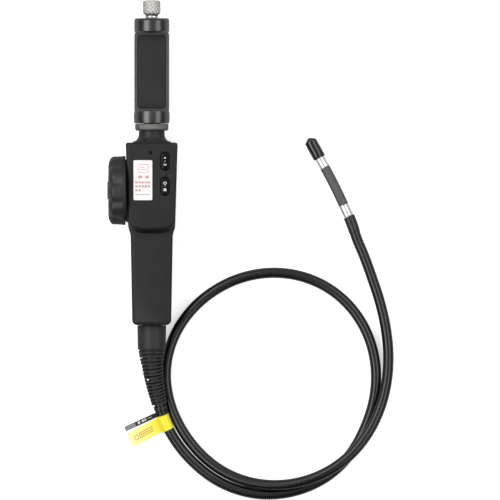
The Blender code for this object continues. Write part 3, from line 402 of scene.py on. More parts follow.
def loft(bm, loops, ring=False):
    skin(bm, [[bm.verts.new(point) for point in loop] for loop in loops], ring)


def lofted(loops, ring=False, name="work"):
    bm = bmesh.new()
    loft(bm, loops, ring)
    return finish_mesh(bm, bpy.data.meshes.new(name))


def at_height(outline, z):
    return [(x, y, z) for x, y in outline]


def soft_body(outline, levels):
    """A body along Z. Each level is z, then what outline() takes."""
    return lofted([at_height(outline(*shape), z) for z, *shape in levels])


def along_x(a, b, height):
    return (height, a, b)


def along_y(a, b, height):
    return (a, height, b)


def along_z(a, b, height):
    return (a, b, height)


def prisms(outlines, low, high, lay=along_z, name="work"):
    bm = bmesh.new()
    for outline in outlines:
        loft(bm, [[lay(a, b, height) for a, b in outline] for height in (low, high)])
    return finish_mesh(bm, bpy.data.meshes.new(name))


def prism(outline, low, high, lay=along_z):
    return prisms([outline], low, high, lay)


def rim(edge, width, steps=7, side=1):
    """(z, inset) levels that end in a rounded rim at z = edge. side is -1 if it faces -Z."""
    out = []
    for i in range(steps + 1):
        a = math.pi / 2 * i / steps
        out.append((edge - side * width * (1 - math.sin(a)), width * (1 - math.cos(a))))
    return out


def ring_angles(segs):
    return 2 * np.pi * np.arange(segs) / segs


def grid_faces(rows, cols, closed=False, first=0):
    out = []
    for i in range(rows if closed else rows - 1):
        a = first + i * cols
        b = first + ((i + 1) % rows) * cols
        for k in range(cols):
            m = (k + 1) % cols
            out.append((a + k, a + m, b + m, b + k))
    return out


def tube_faces(rows, segs):
    """Faces of a thick tube: outer rows first, then as many inner rows."""
    base = rows * segs
    faces = grid_faces(rows, segs) + grid_faces(rows, segs, first=base)
    for start in (0, base - segs):
        for k in range(segs):
            a, b = start + k, start + (k + 1) % segs
            faces.append((a, b, base + b, base + a))
    return faces


def turned(profile, axis, centre, segs, hollow=False, shape=None, turn=None):
    """Points and faces of a turned body.

    profile is (along, radius); unless hollow it starts and ends on the axis.
    shape(angles, along, radii) may change a row's radii, and turn is a 4x4 applied at the end.
    """
    along, side, up = np.roll(np.eye(3), -"XYZ".index(axis), axis=0)
    centre = np.array(centre, float)
    angles = ring_angles(segs)
    rows = profile if hollow else profile[1:-1]
    verts = []
    for t, radius in rows:
        radii = np.full(segs, float(radius))
        if shape is not None:
            radii = shape(angles, t, radii)
        around = np.outer(radii * np.cos(angles), side) + np.outer(radii * np.sin(angles), up)
        verts.append(centre + along * t + around)
    faces = grid_faces(len(rows), segs, hollow)
    if not hollow:
        for i, (t, row) in enumerate(((profile[0][0], 0), (profile[-1][0], len(rows) - 1))):
            tip = len(rows) * segs + i
            verts.append([centre + along * t])
            for k in range(segs):
                faces.append((row * segs + k, row * segs + (k + 1) % segs, tip))
    verts = np.concatenate(verts)
    if turn is not None:
        verts = (np.c_[verts, np.ones(len(verts))] @ np.array(turn, float).T)[:, :3]
    return verts, faces


def rod(axis, centre, low, high, radius, segs=32):
    return solid(*turned([(low, 0), (low, radius), (high, radius), (high, 0)], axis, centre, segs))


def combine(mesh, other, operation):
    first = bpy.data.objects.new("a", mesh)
    second = bpy.data.objects.new("b", other)
    bpy.context.scene.collection.objects.link(first)
    bpy.context.scene.collection.objects.link(second)
    modifier = first.modifiers.new("m", "BOOLEAN")
    modifier.operation = operation
    modifier.solver = "EXACT"
    modifier.object = second
    graph = bpy.context.evaluated_depsgraph_get()
    graph.update()
    out = bpy.data.meshes.new_from_object(first.evaluated_get(graph))
    bpy.data.objects.remove(first, do_unlink=True)
    bpy.data.objects.remove(second, do_unlink=True)
    return out


def cut(mesh, *cutters):
    for cutter in cutters:
        mesh = combine(mesh, cutter, "DIFFERENCE")
    return mesh


def join(mesh, *others):
    for other in others:
        mesh = combine(mesh, other, "UNION")
    return mesh


# ================================================================ placing pieces
def dress(mesh, look, smooth):
    """Gives a mesh its material. smooth is the sharp-edge angle in degrees, or 0 for flat faces."""
    mesh.materials.clear()
    mesh.materials.append(LOOKS[look].material)
    if smooth:
        mesh.shade_smooth()
        mesh.set_sharp_from_angle(angle=math.radians(smooth))


def show(name, mesh, look, smooth):
    """An object from a mesh already in metres."""
    dress(mesh, look, smooth)
    obj = bpy.data.objects.new(name, mesh)
    bpy.context.scene.collection.objects.link(obj)
    return obj


def settle(obj, body, slot, node):
    """Ties an object to its moving body and hides the CAD node it stands in for. The slot is not used.
    """
    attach(obj, body)
    if node:
        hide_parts(node)


def place(name, mesh, look, body, slot, node=None, smooth=30, turn=None):
    """A piece from a mesh in millimetres."""
    if turn is not None:
        mesh.transform(turn)
    mesh.transform(Matrix.Scale(MM, 4))
    settle(show(name, mesh, look, smooth), body, slot, node)


def place_points(name, shape, look, body, slot, node=None, smooth=30):
    """A piece from points in millimetres and faces, with doubled points merged."""
    verts, faces = shape
    mesh = bpy.data.meshes.new(name)
    mesh.from_pydata([tuple(p) for p in verts * MM], [], [tuple(f) for f in faces])
    mesh.validate()
    bm = bmesh.new()
    bm.from_mesh(mesh)
    bmesh.ops.remove_doubles(bm, verts=bm.verts, dist=1e-8)
    settle(show(name, finish_mesh(bm, mesh), look, smooth), body, slot, node)


# ================================================================ handle outlines
front_low, front_high = corners("front_shell")
BOX_TOP_Y, GRIP_END_Y = front_high.y, front_low.y
BOX_FRONT_Z = front_high.z
BOX_HALF_W = front_high.x
SHOULDER_Y, SHOULDER_HALF_W = -28.0, 19.3
GRIP_TOP_Y, GRIP_HALF_W, GRIP_END_HALF_W = -38.0, 17.2, 15.9
GRIP_FRONT_Z = 40.0
STEP_SIDE_Y, STEP_MID_Y = -24.5, -34.2  # the raised box's lower edge, at its sides and middle
SEAM = 0.15  # half the gap between the shells
SPLIT_Z = front_low.z - SEAM
WALL = 2.2
GRIP_RIM = 2.9
CLAMP_Z = 24.0
CABLE_EXIT_Z = 20.0
AXLE = joint_place("wheel_turn")
AXLE[0] = 0.0


def half_width(y):
    if y >= SHOULDER_Y:
        t = (y - SHOULDER_Y) / (BOX_TOP_Y - SHOULDER_Y)
        return SHOULDER_HALF_W + (BOX_HALF_W - SHOULDER_HALF_W) * t
    if y >= GRIP_TOP_Y:
        t = (SHOULDER_Y - y) / (SHOULDER_Y - GRIP_TOP_Y)
        return SHOULDER_HALF_W + (GRIP_HALF_W - SHOULDER_HALF_W) * smoothstep(t)
    t = (GRIP_TOP_Y - y) / (GRIP_TOP_Y - GRIP_END_Y)
    return GRIP_HALF_W + (GRIP_END_HALF_W - GRIP_HALF_W) * t


def side_points(inset, start, end, steps, ends=False):
    """Points down the +X side, with or without the two end ones."""
    run = range(0, steps + 1) if ends else range(1, steps)
    heights = [start + (end - start) * i / steps for i in run]
    return [(half_width(y) - inset, y) for y in heights]


def upper_side(inset, end, steps):
    """The +X top corner and the side below it."""
    top = BOX_TOP_Y - inset
    radius = max(1.7 - 0.45 * inset, 0.4)
    points = arc(half_width(top) - inset - radius, top - radius, radius, 90, 0)
    return points + side_points(inset, top - radius, end, steps)


def mirrored(points):
    return [(-x, y) for x, y in reversed(points)]


def handle_outline(inset=0.0):
    """The whole handle in plan."""
    right = upper_side(inset, SHOULDER_Y, 9)
    right += side_points(inset, SHOULDER_Y, GRIP_TOP_Y, 11, ends=True)
    radius = 4.0 - 0.9 * min(inset, GRIP_RIM)
    foot = GRIP_END_Y + inset + radius
    right += side_points(inset, GRIP_TOP_Y, foot, 9)
    right += arc(half_width(foot) - inset - radius, foot, radius, 0, -90)
    return right + mirrored(right)


def box_outline(inset=0.0, lift=0.0):
    """The raised box in plan. lift pulls its curved lower edge up towards the buttons."""
    side_y = STEP_SIDE_Y + lift * 0.55
    right = upper_side(inset, side_y, 10)
    side_x = half_width(side_y) - inset
    depth = side_y - (STEP_MID_Y + lift)
    steps = 26
    for i in range(steps + 1):
        a = math.pi / 2 * i / steps
        x = side_x * math.cos(a) ** 0.62 if i < steps else 0.0
        right.append((x, side_y - depth * math.sin(a)))
    return right + mirrored(right[:-1])


# ================================================================ handle shells
SCREWS = [f"case_screw_{i}" for i in (1, 2, 3, 4)]
BUTTONS = {name: (*middle(f"button_{name}")[:2], corners(f"button_{name}")[1].z)
           for name in ("upper", "lower")}  # fmt: skip  (x, y, top z)
label_low, label_high = corners("label")


def front_body():
    levels = [
        (SPLIT_Z + SEAM, 0.0, -1.0),
        (GRIP_FRONT_Z - 0.4, 0.0, -1.0),
        (GRIP_FRONT_Z + 2.0, 0.0, -0.65),
    ]
    for z, inset in rim(BOX_FRONT_Z, 2.3):
        t = (z - GRIP_FRONT_Z) / (BOX_FRONT_Z - GRIP_FRONT_Z)
        levels.append((z, inset, -1.0 + 3.6 * t**1.3 + inset * 0.5))
    box = soft_body(box_outline, levels)
    grip = soft_body(handle_outline, [(SPLIT_Z + SEAM, 0)] + rim(GRIP_FRONT_Z, GRIP_RIM))
    return cut(
        join(box, grip),
        prism(box_outline(WALL, 5.0), SPLIT_Z - 2, BOX_FRONT_Z - WALL),
        prism(handle_outline(WALL), SPLIT_Z - 2, GRIP_FRONT_Z - WALL),
        prism(handle_outline(1.15), SPLIT_Z - 2, SPLIT_Z + 1.6),
    )


def rear_body():
    """The rear half, with a tongue that stands into the front one."""
    rear = soft_body(handle_outline, [(SPLIT_Z - SEAM, 0)] + rim(0.0, GRIP_RIM, side=-1))
    rear = join(rear, prism(handle_outline(1.4), SPLIT_Z - 3, SPLIT_Z + 1.3))
    return cut(rear, prism(handle_outline(WALL), WALL, SPLIT_Z + 2))


def add_screw_posts(front, rear):
    for screw in SCREWS:
        x, y, _ = middle(screw)
        at = (x, y, 0)
        rear = join(rear, rod("Z", at, WALL - 0.8, SPLIT_Z - 0.6, 3.5, 24))
        rear = cut(rear, rod("Z", at, -1, SPLIT_Z + 1, 1.7, 20))
        rear = cut(rear, rod("Z", at, -1, 4.2, 3.1))
        ceiling = (BOX_FRONT_Z if y > 0 else GRIP_FRONT_Z) - WALL
        front = join(front, rod("Z", at, SPLIT_Z + 0.4, ceiling + 0.8, 2.6, 20))
        front = cut(front, rod("Z", at, SPLIT_Z - 1, SPLIT_Z + 12, 1.5, 16))
    return front, rear


def add_wheel_boss(front, rear):
    """A rib with a hole for the shaft, and a round boss behind the wheel shared by both shells."""
    rear = join(rear, prism(rect(2.0, -8.0, 5.0, 8.0), WALL - 0.8, 35.0))
    rear = cut(rear, rod("X", AXLE, 1.0, 6.0, 4.2))
    face = corners("steering_wheel")[1].x + 0.35
    profile = [
        (face - 1.2, 0), (face - 1.2, 24.7), (face - 0.9, 25.0), (face, 25.0), (face, 25.3),
        (face + 0.2, 25.8), (face + 0.7, 26.0), (-18.7, 26.0), (-18.7, 0),
    ]

    def slab(low, high):
        return prism(rect(-30, -40, 0, 40), low, high)

    boss = cut(solid(*turned(profile, "X", AXLE, 120)), slab(BOX_FRONT_Z - 2.5, 80))
    front = join(front, cut(boss, slab(-10, SPLIT_Z + SEAM)))
    rear = join(rear, cut(boss, slab(SPLIT_Z - SEAM, 80)))
    return front, rear


def open_ends(front, rear):
    """Holes for the clamp neck, the cable and, in the front, the wheel shaft."""
    neck = rod("Y", (0, 0, CLAMP_Z), 30.0, 42.0, 6.2, 40)
    cable = rod("Y", (0, 0, CABLE_EXIT_Z), -114.0, -104.0, 8.3, 40)
    front = cut(front, neck, cable, rod("X", AXLE, -26.0, -15.0, 4.2))
    return front, cut(rear, neck, cable)


def open_front(front):
    """Buttons in shallow dished surrounds, indicator, small hole, label recess and charge port."""
    for x, y, _ in BUTTONS.values():
        dish = lofted([
            at_height(pill(x, y, 7.3, 15.3), BOX_FRONT_Z - 0.75),
            at_height(pill(x, y, 8.5, 16.5), BOX_FRONT_Z + 0.25),
        ])
        front = cut(front, prism(pill(x, y, 7.2, 15.2), 44, 50), dish)
    x, y, _ = middle("light_pipe")
    flare = [
        (44, 0), (44, 1.35), (BOX_FRONT_Z - 0.25, 1.35), (BOX_FRONT_Z + 0.15, 1.75),
        (BOX_FRONT_Z + 0.5, 1.75), (BOX_FRONT_Z + 0.5, 0),
    ]
    light = solid(*turned(flare, "Z", (x, y, 0), 32))
    recess = round_rect(
        label_low.x - 0.7, label_low.y - 0.9, label_high.x + 1.3, label_high.y + 0.9, 1.7
    )
    _, y, z = middle("charge_socket")
    return cut(
        front,
        light,
        rod("Z", (12.0, 12.7, 0), 44, 50, 0.7, 20),
        prism(recess, BOX_FRONT_Z - 0.28, 50),
        prism(round_rect(y - 4.8, z - 1.9, y + 4.8, z + 1.9, 1.5), 15.0, 24.0, along_x),
    )


front_half, rear_half = add_screw_posts(front_body(), rear_body())
front_half, rear_half = open_ends(*add_wheel_boss(front_half, rear_half))
place("front_cover", open_front(front_half), "shell", "root", "shell", "front_shell", smooth=28)
place("rear_cover", rear_half, "shell", "root", "shell", "rear_shell", smooth=28)


def case_screw(number, node):
    """A case screw with a cross recess."""
    low, high = corners(node)
    x, y, _ = middle(node)
    profile = [
        (low.z, 0), (low.z, 2.7), (3.9, 2.7), (3.9, 1.25), (high.z - 1.0, 1.25),
        (high.z, 0.5), (high.z, 0),
    ]
    body = solid(*turned(rounded(profile, {1: 0.6}), "Z", (x, y, 0), 32))
    for w, l in ((0.55, 1.7), (1.7, 0.55)):
        body = cut(body, prism(rect(x - w, y - l, x + w, y + l), low.z - 1, low.z + 1.3))
    place(f"screw_{number}", body, "steel", "root", "steel", node)


def indicator():
    low, high = corners("light_pipe")
    x, y, _ = middle("light_pipe")
    profile = [(low.z, 0), (low.z, 1.7), (41.5, 1.7), (41.5, 1.0), (high.z, 1.0), (high.z, 0)]
    body = solid(*turned(rounded(profile, {4: 0.35}), "Z", (x, y, 0), 32))
    place("indicator", body, "light", "root", "light", "light_pipe")


for number, node in enumerate(SCREWS, 1):
    case_screw(number, node)
indicator()

# ================================================================ label: a blank form of plain bars
INK_LOW, INK_HIGH = BOX_FRONT_Z + 0.07, BOX_FRONT_Z + 0.1


def printed(name, outlines, look, body, low, high):
    """Flat printed shapes, held in one piece."""
    place(name, prisms(outlines, low, high, name=name), look, body, "label", smooth=0)


def label_box(left, bottom, right, top):
    """Corners of a box given as fractions of the label, from its -X side and its +Y edge."""
    width, height = label_high.x - label_low.x, label_high.y - label_low.y
    return (
        label_low.x + left * width, label_high.y - bottom * height,
        label_low.x + right * width, label_high.y - top * height,
    )


def label_bars(name, boxes, look, radius):
    outlines = []
    for box in boxes:
        x0, y0, x1, y1 = label_box(*box)
        corner = min(radius, (x1 - x0) * 0.45, (y1 - y0) * 0.45)
        outlines.append(round_rect(x0, y0, x1, y1, corner, 3))
    printed(name, outlines, look, "root", INK_LOW, INK_HIGH)


def label():
    film = round_rect(label_low.x, label_low.y, label_high.x, label_high.y, 1.0)
    film = prism(film, BOX_FRONT_Z - 0.2, BOX_FRONT_Z + 0.06)
    place("label_film", film, "label", "root", "label", "label", smooth=0)

    x0, y0, x1, y1 = label_box(0.27, 0.31, 0.79, 0.10)
    line = 0.55
    outer = round_rect(x0, y0, x1, y1, 1.0, 5)
    inner = round_rect(x0 + line, y0 + line, x1 - line, y1 - line, 0.6, 5)
    loops = ((outer, INK_LOW), (outer, INK_HIGH), (inner, INK_HIGH), (inner, INK_LOW))
    field = lofted([at_height(*loop) for loop in loops], ring=True, name="label_field")
    place("label_field", field, "ink_red", "root", "label", smooth=0)

    boxes = [(0.36, 0.245, 0.70, 0.225), (0.36, 0.19, 0.60, 0.17)]
    boxes += [(left, 0.455, left + 0.2, 0.385) for left in (0.27, 0.62)]
    for centre, count in ((0.555, 5), (0.655, 5), (0.755, 2)):
        for k in range(count):
            left = 0.10 + 0.165 * k
            boxes.append((left, centre + 0.027, left + 0.125, centre - 0.027))
    label_bars("label_bars", boxes, "ink_red", 0.25)
    rule = [(0.12 + 0.11 * k, 0.872, 0.20 + 0.11 * k, 0.852) for k in range(7)]
    label_bars("label_rule", rule, "grey_ink_and_glare", 0.1)


label()


# ================================================================ buttons and their marks
DISH = 0.22  # how far a button's face rises inside its rounded rim


def button_cap(name):
    x, y, top = BUTTONS[name]
    node = f"button_{name}"

    def outline(inset):
        return pill(x, y, 6.6 - 2 * inset, 14.6 - 2 * inset)

    levels = [(45.0, 0)] + rim(top - DISH, 0.75)
    for t in (0.12, 0.25, 0.4, 0.6, 0.8, 1.0):
        levels.append((top - DISH * (1 - t) ** 2.0, 0.75 + 2.35 * t))
    flange = prism(pill(x, y, 8.4, 16.4), corners(node)[0].z, 45.3)
    cap = join(soft_body(outline, levels), flange)
    place(f"button_cap_{name}", cap, "button", node, "gloss_black", node)


def slash(x, y):
    a = math.radians(62)
    along = Vector((math.cos(a), math.sin(a))) * 1.7 / 2
    across = Vector((-math.sin(a), math.cos(a))) * 0.26 / 2
    c = Vector((x, y))
    points = (c - along - across, c + along - across, c + along + across, c - along + across)
    return [tuple(point) for point in points]


def upper_marks(x, y):
    marks = [round_rect(x - 0.75, y + 2.1, x + 0.75, y + 3.3, 0.3, 4), slash(x, y - 0.1)]
    for k in (-1, 0, 1):
        centre = x + k * 0.814
        marks.append(rect(centre - 0.242, y - 3.65, centre + 0.242, y - 2.15))
    return marks


def lower_marks(x, y):
    ring = arc(x, y + 2.6, 1.35, 100, 440, 24) + arc(x, y + 2.6, 0.75, 440, 100, 24)
    block = [
        (x - 1.15, y - 1.9), (x + 0.6, y - 1.7), (x + 1.15, y - 2.4),
        (x + 1.0, y - 4.0), (x - 1.15, y - 4.0),
    ]
    return [ring, slash(x, y + 0.1), block]


for name in BUTTONS:
    button_cap(name)
MARK_Z = BUTTONS["upper"][2]
for name, marks in (("upper", upper_marks), ("lower", lower_marks)):
    outlines = marks(*BUTTONS[name][:2])
    printed(f"mark_{name}", outlines, "ink_white", f"button_{name}", MARK_Z - 0.16, MARK_Z + 0.02)

# ================================================================ steering wheel
wheel_low, wheel_high = corners("steering_wheel")
WHEEL_R = (wheel_high.z - wheel_low.z) / 2
WHEEL_OUT, WHEEL_IN = wheel_low.x, wheel_high.x  # the outer face points to -X


def groove(angles):
    """Ten finger grooves round the rim: 1 in a groove, 0 on a lobe."""
    return (0.5 + 0.5 * np.cos(10 * (angles - math.radians(3.7)))) ** 2.1


def lobed(angles, t, radii):
    reach = np.clip((radii - 19.0) / (WHEEL_R - 19.0), 0, 1)
    return radii - 1.8 * groove(angles) * (reach * np.clip((WHEEL_IN - 2.1 - t) / 1.6, 0, 1))


def wheel_rim():
    inner, outer, radius = WHEEL_IN, WHEEL_OUT, WHEEL_R
    profile = [
        (inner - 1.3, 3.3), (inner - 1.3, 9.0), (inner - 1.3, 25.35), (inner - 1.1, 25.4),
        (inner - 0.2, 25.45), (inner, radius - 1.2), (inner, radius - 0.2), (inner - 0.5, radius),
        (inner - 1.6, radius), (inner - 1.75, radius - 0.2), (inner - 2.05, radius - 0.2),
        (inner - 2.2, radius),
    ]
    for i in range(17):
        a = math.pi / 2 * i / 16
        drop = 8.6 * (1 - math.cos(a))
        profile.append((outer + 0.45 + 4.4 * (1 - math.sin(a)), radius - drop))
    hub = len(profile)
    profile += [
        (outer + 0.45, 16.5), (outer + 0.45, 12.6), (outer + 1.3, 11.2), (outer + 1.3, 8.2),
        (outer - 0.35, 6.9), (outer - 0.35, 5.0), (outer + 2.6, 5.0), (outer + 2.6, 1.8),
        (outer + 4.6, 1.8), (outer + 4.6, 3.3),
    ]
    radii = {hub + 1: 0.6, hub + 2: 0.6, hub + 3: 0.4, hub + 4: 0.7, hub + 5: 0.3}
    verts, faces = turned(rounded(profile, radii, 4), "X", AXLE, 260, hollow=True, shape=lobed)
    # The grooves also sink the outer face
    y, z = verts[:, 1] - AXLE[1], verts[:, 2] - AXLE[2]
    sink = smoothstep(np.clip((np.hypot(z, y) - 14.0) / 11.0, 0, 1))
    sink = sink * np.clip((inner - 4.0 - verts[:, 0]) / 5.0, 0, 1)
    verts[:, 0] += 1.0 * groove(np.arctan2(z, y)) * sink
    shape = verts, faces
    place_points("wheel_rim", shape, "wheel", "wheel", "wheel_plastic", "steering_wheel", smooth=34)


def hub_screw():
    low, high = corners("wheel_screw")
    profile = [(low.x, 0), (low.x, 4.2), (-33.7, 4.2), (-33.7, 1.4), (high.x, 1.4), (high.x, 0)]
    screw = solid(*turned(rounded(profile, {1: 0.9}), "X", AXLE, 48))
    hexagon = arc(AXLE[1], AXLE[2], 1.9, 0, 300, 5)
    screw = cut(screw, prism(hexagon, low.x - 1, low.x + 0.9, along_x))
    place("hub_screw", screw, "steel", "wheel", "steel", "wheel_screw")


wheel_rim()
hub_screw()

# ================================================================ phone clamp
CLAMP_AXIS = (0, 0, CLAMP_Z)
BORE_R = 7.3
JAW_Y = corners("top_jaw")[0].y
ROD_X, _, ROD_Z = middle("guide_rod_left")


def zigzag(t):
    return 2 * np.abs(t - np.floor(t + 0.5))


def knurled(rows, segs, diamonds, pitch, start, depth, sharp=1.0):
    """A ring about the clamp axis. rows are (y, radius, knurled), diamonds counts round it."""
    angles = ring_angles(segs)
    turns = angles / (2 * np.pi) * diamonds
    verts = []
    for y, radius, is_knurled in rows:
        radii = np.full(segs, float(radius))
        if is_knurled:
            rise = (y - start) / pitch
            crown = np.minimum(zigzag(turns + rise), zigzag(turns - rise))
            radii = radii - depth * (1 - np.minimum(1.0, crown * sharp))
        x, z = radii * np.sin(angles), CLAMP_Z + radii * np.cos(angles)
        verts.append(np.c_[x, np.full(segs, y), z])
    return np.concatenate(verts), grid_faces(len(rows), segs, closed=True)


def knurl_rows(start, end, radius, steps):
    return [(start + (end - start) * i / steps, radius, 1) for i in range(steps + 1)]


def rod_holes(low, high):
    return [rod("Y", (side * ROD_X, 0, ROD_Z), low, high, 2.3) for side in (1, -1)]


def clamp_neck():
    low, high = corners("clamp_socket")
    flange = (high.x - low.x) / 2
    profile = [
        (low.y, 0), (low.y, 8.4), (36.6, 8.4), (36.6, 5.8), (BOX_TOP_Y + 0.03, 5.8),
        (BOX_TOP_Y + 0.03, flange), (BOX_TOP_Y + 1.0, flange),
    ]
    for i in range(1, 15):
        a = math.pi / 2 * i / 14
        waist = flange - (flange - 10.6) * math.sin(a) ** 0.9
        profile.append((40.2 + 6.2 * (1 - math.cos(a)), waist))
    profile += [(48.6, 10.6), (48.9, 10.4), (48.9, 7.0), (high.y, 7.0), (high.y, 0)]
    neck = solid(*turned(profile, "Y", CLAMP_AXIS, 96))
    neck = cut(neck, prism(rect(-6.9, 39.0, 6.9, 42.7), CLAMP_Z + 11.9, 60))
    place("clamp_neck", neck, "neck", "root", "shell", "clamp_socket", smooth=28)


def lock_ring():
    """Two bands of cross knurling between plain lips."""
    low, high = corners("lock_ring")
    radius = (high.z - low.z) / 2
    start = low.y + 1.3
    rows = [
        (low.y, BORE_R, 0), (low.y, radius - 1.2, 0), (low.y + 0.25, radius - 0.75, 0),
        (low.y + 1.0, radius - 0.45, 0), (low.y + 1.15, radius - 0.75, 0),
    ]
    rows += knurl_rows(start, high.y - 0.6, radius, 22)
    rows += [
        (high.y - 0.2, radius - 0.45, 0), (high.y + 0.1, radius - 0.6, 0), (high.y + 0.1, BORE_R, 0)
    ]
    ring = knurled(rows, segs=360, diamonds=60, pitch=1.4, start=start, depth=0.34)
    place_points(
        "lock_ring_knurl", ring, "lock", "lock_ring", "anodised_satin", "lock_ring", smooth=40
    )


def lower_collar():
    low, high = corners("lower_jaw")
    radius = (high.x - low.x) / 2
    foot = low.y - 0.12
    profile = [(foot, BORE_R), (foot, radius - 0.8), (low.y + 0.3, radius - 0.45)]
    for i in range(9):
        t = i / 8
        crowned = radius - 0.32 * (2 * t - 1) ** 2
        profile.append((low.y + 0.9 + (high.y - low.y - 1.8) * t, crowned))
    profile += [
        (high.y - 0.6, radius - 0.45), (high.y, radius - 1.0), (high.y, 0.02),
        (64.3, 0.02), (64.3, BORE_R),
    ]
    shape = turned(rounded(profile, {1: 0.2, 12: 0.2}, 3), "Y", CLAMP_AXIS, 128, hollow=True)
    place_points("lower_collar", shape, "anodised", "clamp", "anodised", "lower_jaw", smooth=26)


def top_collar():
    low, high = corners("top_jaw")
    radius = (high.x - low.x) / 2
    side = radius - 0.05
    profile = [
        (low.y, 0), (low.y, radius - 1.1), (low.y + 0.7, radius - 0.25), (low.y + 1.0, side),
        (low.y + 1.3, radius - 0.22), (low.y + 1.6, side),
    ]
    for i in range(1, 8):
        t = i / 8
        crowned = side + 0.05 * math.sin(math.pi * t)
        profile.append((low.y + 1.6 + (high.y - low.y - 3.4) * t, crowned))
    profile += [
        (high.y - 1.8, side), (high.y - 1.5, radius - 0.22), (high.y - 1.2, radius - 0.08),
        (high.y - 0.5, radius - 0.4), (high.y, radius - 1.2), (high.y, 8.6),
        (high.y - 0.25, 8.3), (high.y - 0.25, 0),
    ]
    jaw = cut(
        solid(*turned(profile, "Y", CLAMP_AXIS, 128)),
        *rod_holes(low.y - 1, low.y + 6.0),
        rod("Y", CLAMP_AXIS, low.y + 2.0, high.y + 1, 3.1),
    )
    place("top_collar", jaw, "anodised", "top_jaw", "anodised", "top_jaw", smooth=26)


def jaw_rod(side):
    node = f"guide_rod_{side}"
    low, high = corners(node)
    x, _, z = middle(node)
    profile = rounded([(low.y, 0), (low.y, 2.0), (high.y, 2.0), (high.y, 0)], {1: 0.5, 2: 0.3})
    shape = turned(profile, "Y", (x, 0, z), 40)
    place_points(f"jaw_rod_{side}", shape, "bright", "top_jaw", "steel", node)


def rail():
    """A D section with broken edges and a recess for the pad."""
    low, high = corners("clamp_rail")
    radius = (high.x - low.x) / 2
    flat = high.z
    flat_angle = math.degrees(math.asin((flat - CLAMP_Z) / radius))
    start = flat_angle - 4.5
    section = arc(0, CLAMP_Z, radius, start, start - (171.0 + 2 * flat_angle), 64)
    edge = radius * math.cos(math.radians(flat_angle))
    section += [
        (-edge + 0.35, flat - 0.45), (-edge + 1.1, flat), (edge - 1.1, flat),
        (edge - 0.35, flat - 0.45),
    ]

    def scaled(factor):
        return [(x * factor, CLAMP_Z + (z - CLAMP_Z) * factor) for x, z in section]

    # A shallow step round the end next to the top jaw
    step = cut(
        prism(scaled(1.1), JAW_Y - 0.8, JAW_Y + 0.2, along_y),
        prism(scaled(0.97), JAW_Y - 1.2, JAW_Y + 0.6, along_y),
    )
    pad_low, pad_high = corners("phone_pad")

    def around_pad(gap, corner, z):
        outline = round_rect(
            pad_low.x - gap, pad_low.y - gap, pad_high.x + gap, pad_high.y + gap, corner, 10
        )
        return at_height(outline, z)

    recess = lofted([
        around_pad(0.25, 2.6, flat - 1.5),
        around_pad(0.25, 2.6, flat - 0.35),
        around_pad(0.75, 3.0, flat + 0.15),
    ])
    body = cut(
        prism(section, low.y - 0.33, JAW_Y - 0.05, along_y),
        recess,
        step,
        *rod_holes(74.0, 131.0),
        rod("Y", (0, 0, ROD_Z), 72.0, 131.0, 3.9),
    )
    place("rail_body", body, "rail", "clamp", "anodised_satin", "clamp_rail", smooth=24)


def pad():
    low, high = corners("phone_pad")

    def outline(inset):
        x0, y0, x1, y1 = low.x + inset, low.y + inset, high.x - inset, high.y - inset
        return round_rect(x0, y0, x1, y1, max(2.4 - inset, 0.6), 10)

    levels = [(low.z, 0.3), (low.z + 0.2, 0)] + rim(high.z, 0.45, 5)
    body = soft_body(outline, levels)
    place("pad_face", body, "pad", "clamp", "rubber_black", "phone_pad", smooth=40)


def knob():
    """Coarse diamond knurl between chamfers."""
    low, high = corners("clamp_knob")
    radius = (high.z - low.z) / 2
    start = low.y + 1.3
    rows = [
        (low.y, 3.1, 0), (low.y, radius - 1.5, 0), (low.y + 0.3, radius - 1.0, 0),
        (low.y + 1.1, radius - 0.35, 1),
    ]
    rows += knurl_rows(start, high.y - 1.1, radius, 44)
    rows += [
        (high.y - 0.9, radius - 0.35, 1), (high.y - 0.3, radius - 1.1, 0),
        (high.y, radius - 1.9, 0), (high.y, 2.2, 0), (high.y - 0.4, 1.8, 0),
        (high.y - 0.4, 0.02, 0), (high.y - 4.0, 0.02, 0), (high.y - 4.0, 3.1, 0),
    ]
    shape = knurled(rows, segs=224, diamonds=14, pitch=3.05, start=start, depth=0.62, sharp=1.35)
    place_points("knob_knurl", shape, "nickel", "clamp_knob", "nickel", "clamp_knob", smooth=40)


def knob_neck():
    """The knob's polished neck, and a washer against its collar."""
    low, high = corners("knob_spindle")
    profile = [
        (low.y, 0), (low.y, 2.2), (low.y + 0.6, 2.8), (141.5, 2.8), (141.5, 5.4),
        (143.3, 5.4), (143.3, 2.8), (high.y, 2.8), (high.y, 0),
    ]
    shape = turned(rounded(profile, {4: 0.35, 5: 0.35}), "Y", CLAMP_AXIS, 80)
    place_points("knob_neck", shape, "ring", "clamp_knob", "nickel", "knob_spindle")
    profile = rounded([(143.33, 2.85), (143.33, 5.3), (144.27, 5.3), (144.27, 2.85)],
                      {1: 0.2, 2: 0.2}, 3)  # fmt: skip
    washer = turned(profile, "Y", CLAMP_AXIS, 64, hollow=True)
    place_points("knob_washer", washer, "boot", "clamp_knob", "rubber_black")


clamp_neck()
lock_ring()
lower_collar()
top_collar()
for side in ("left", "right"):
    jaw_rod(side)
rail()
pad()
knob()
knob_neck()

# ================================================================ the lay of the insertion tube
TUBE_R, TUBE_REST_Z, TIP_Z = 4.35, 4.55, 5.5
LOOP_CENTRE = (97.7, -154.6)
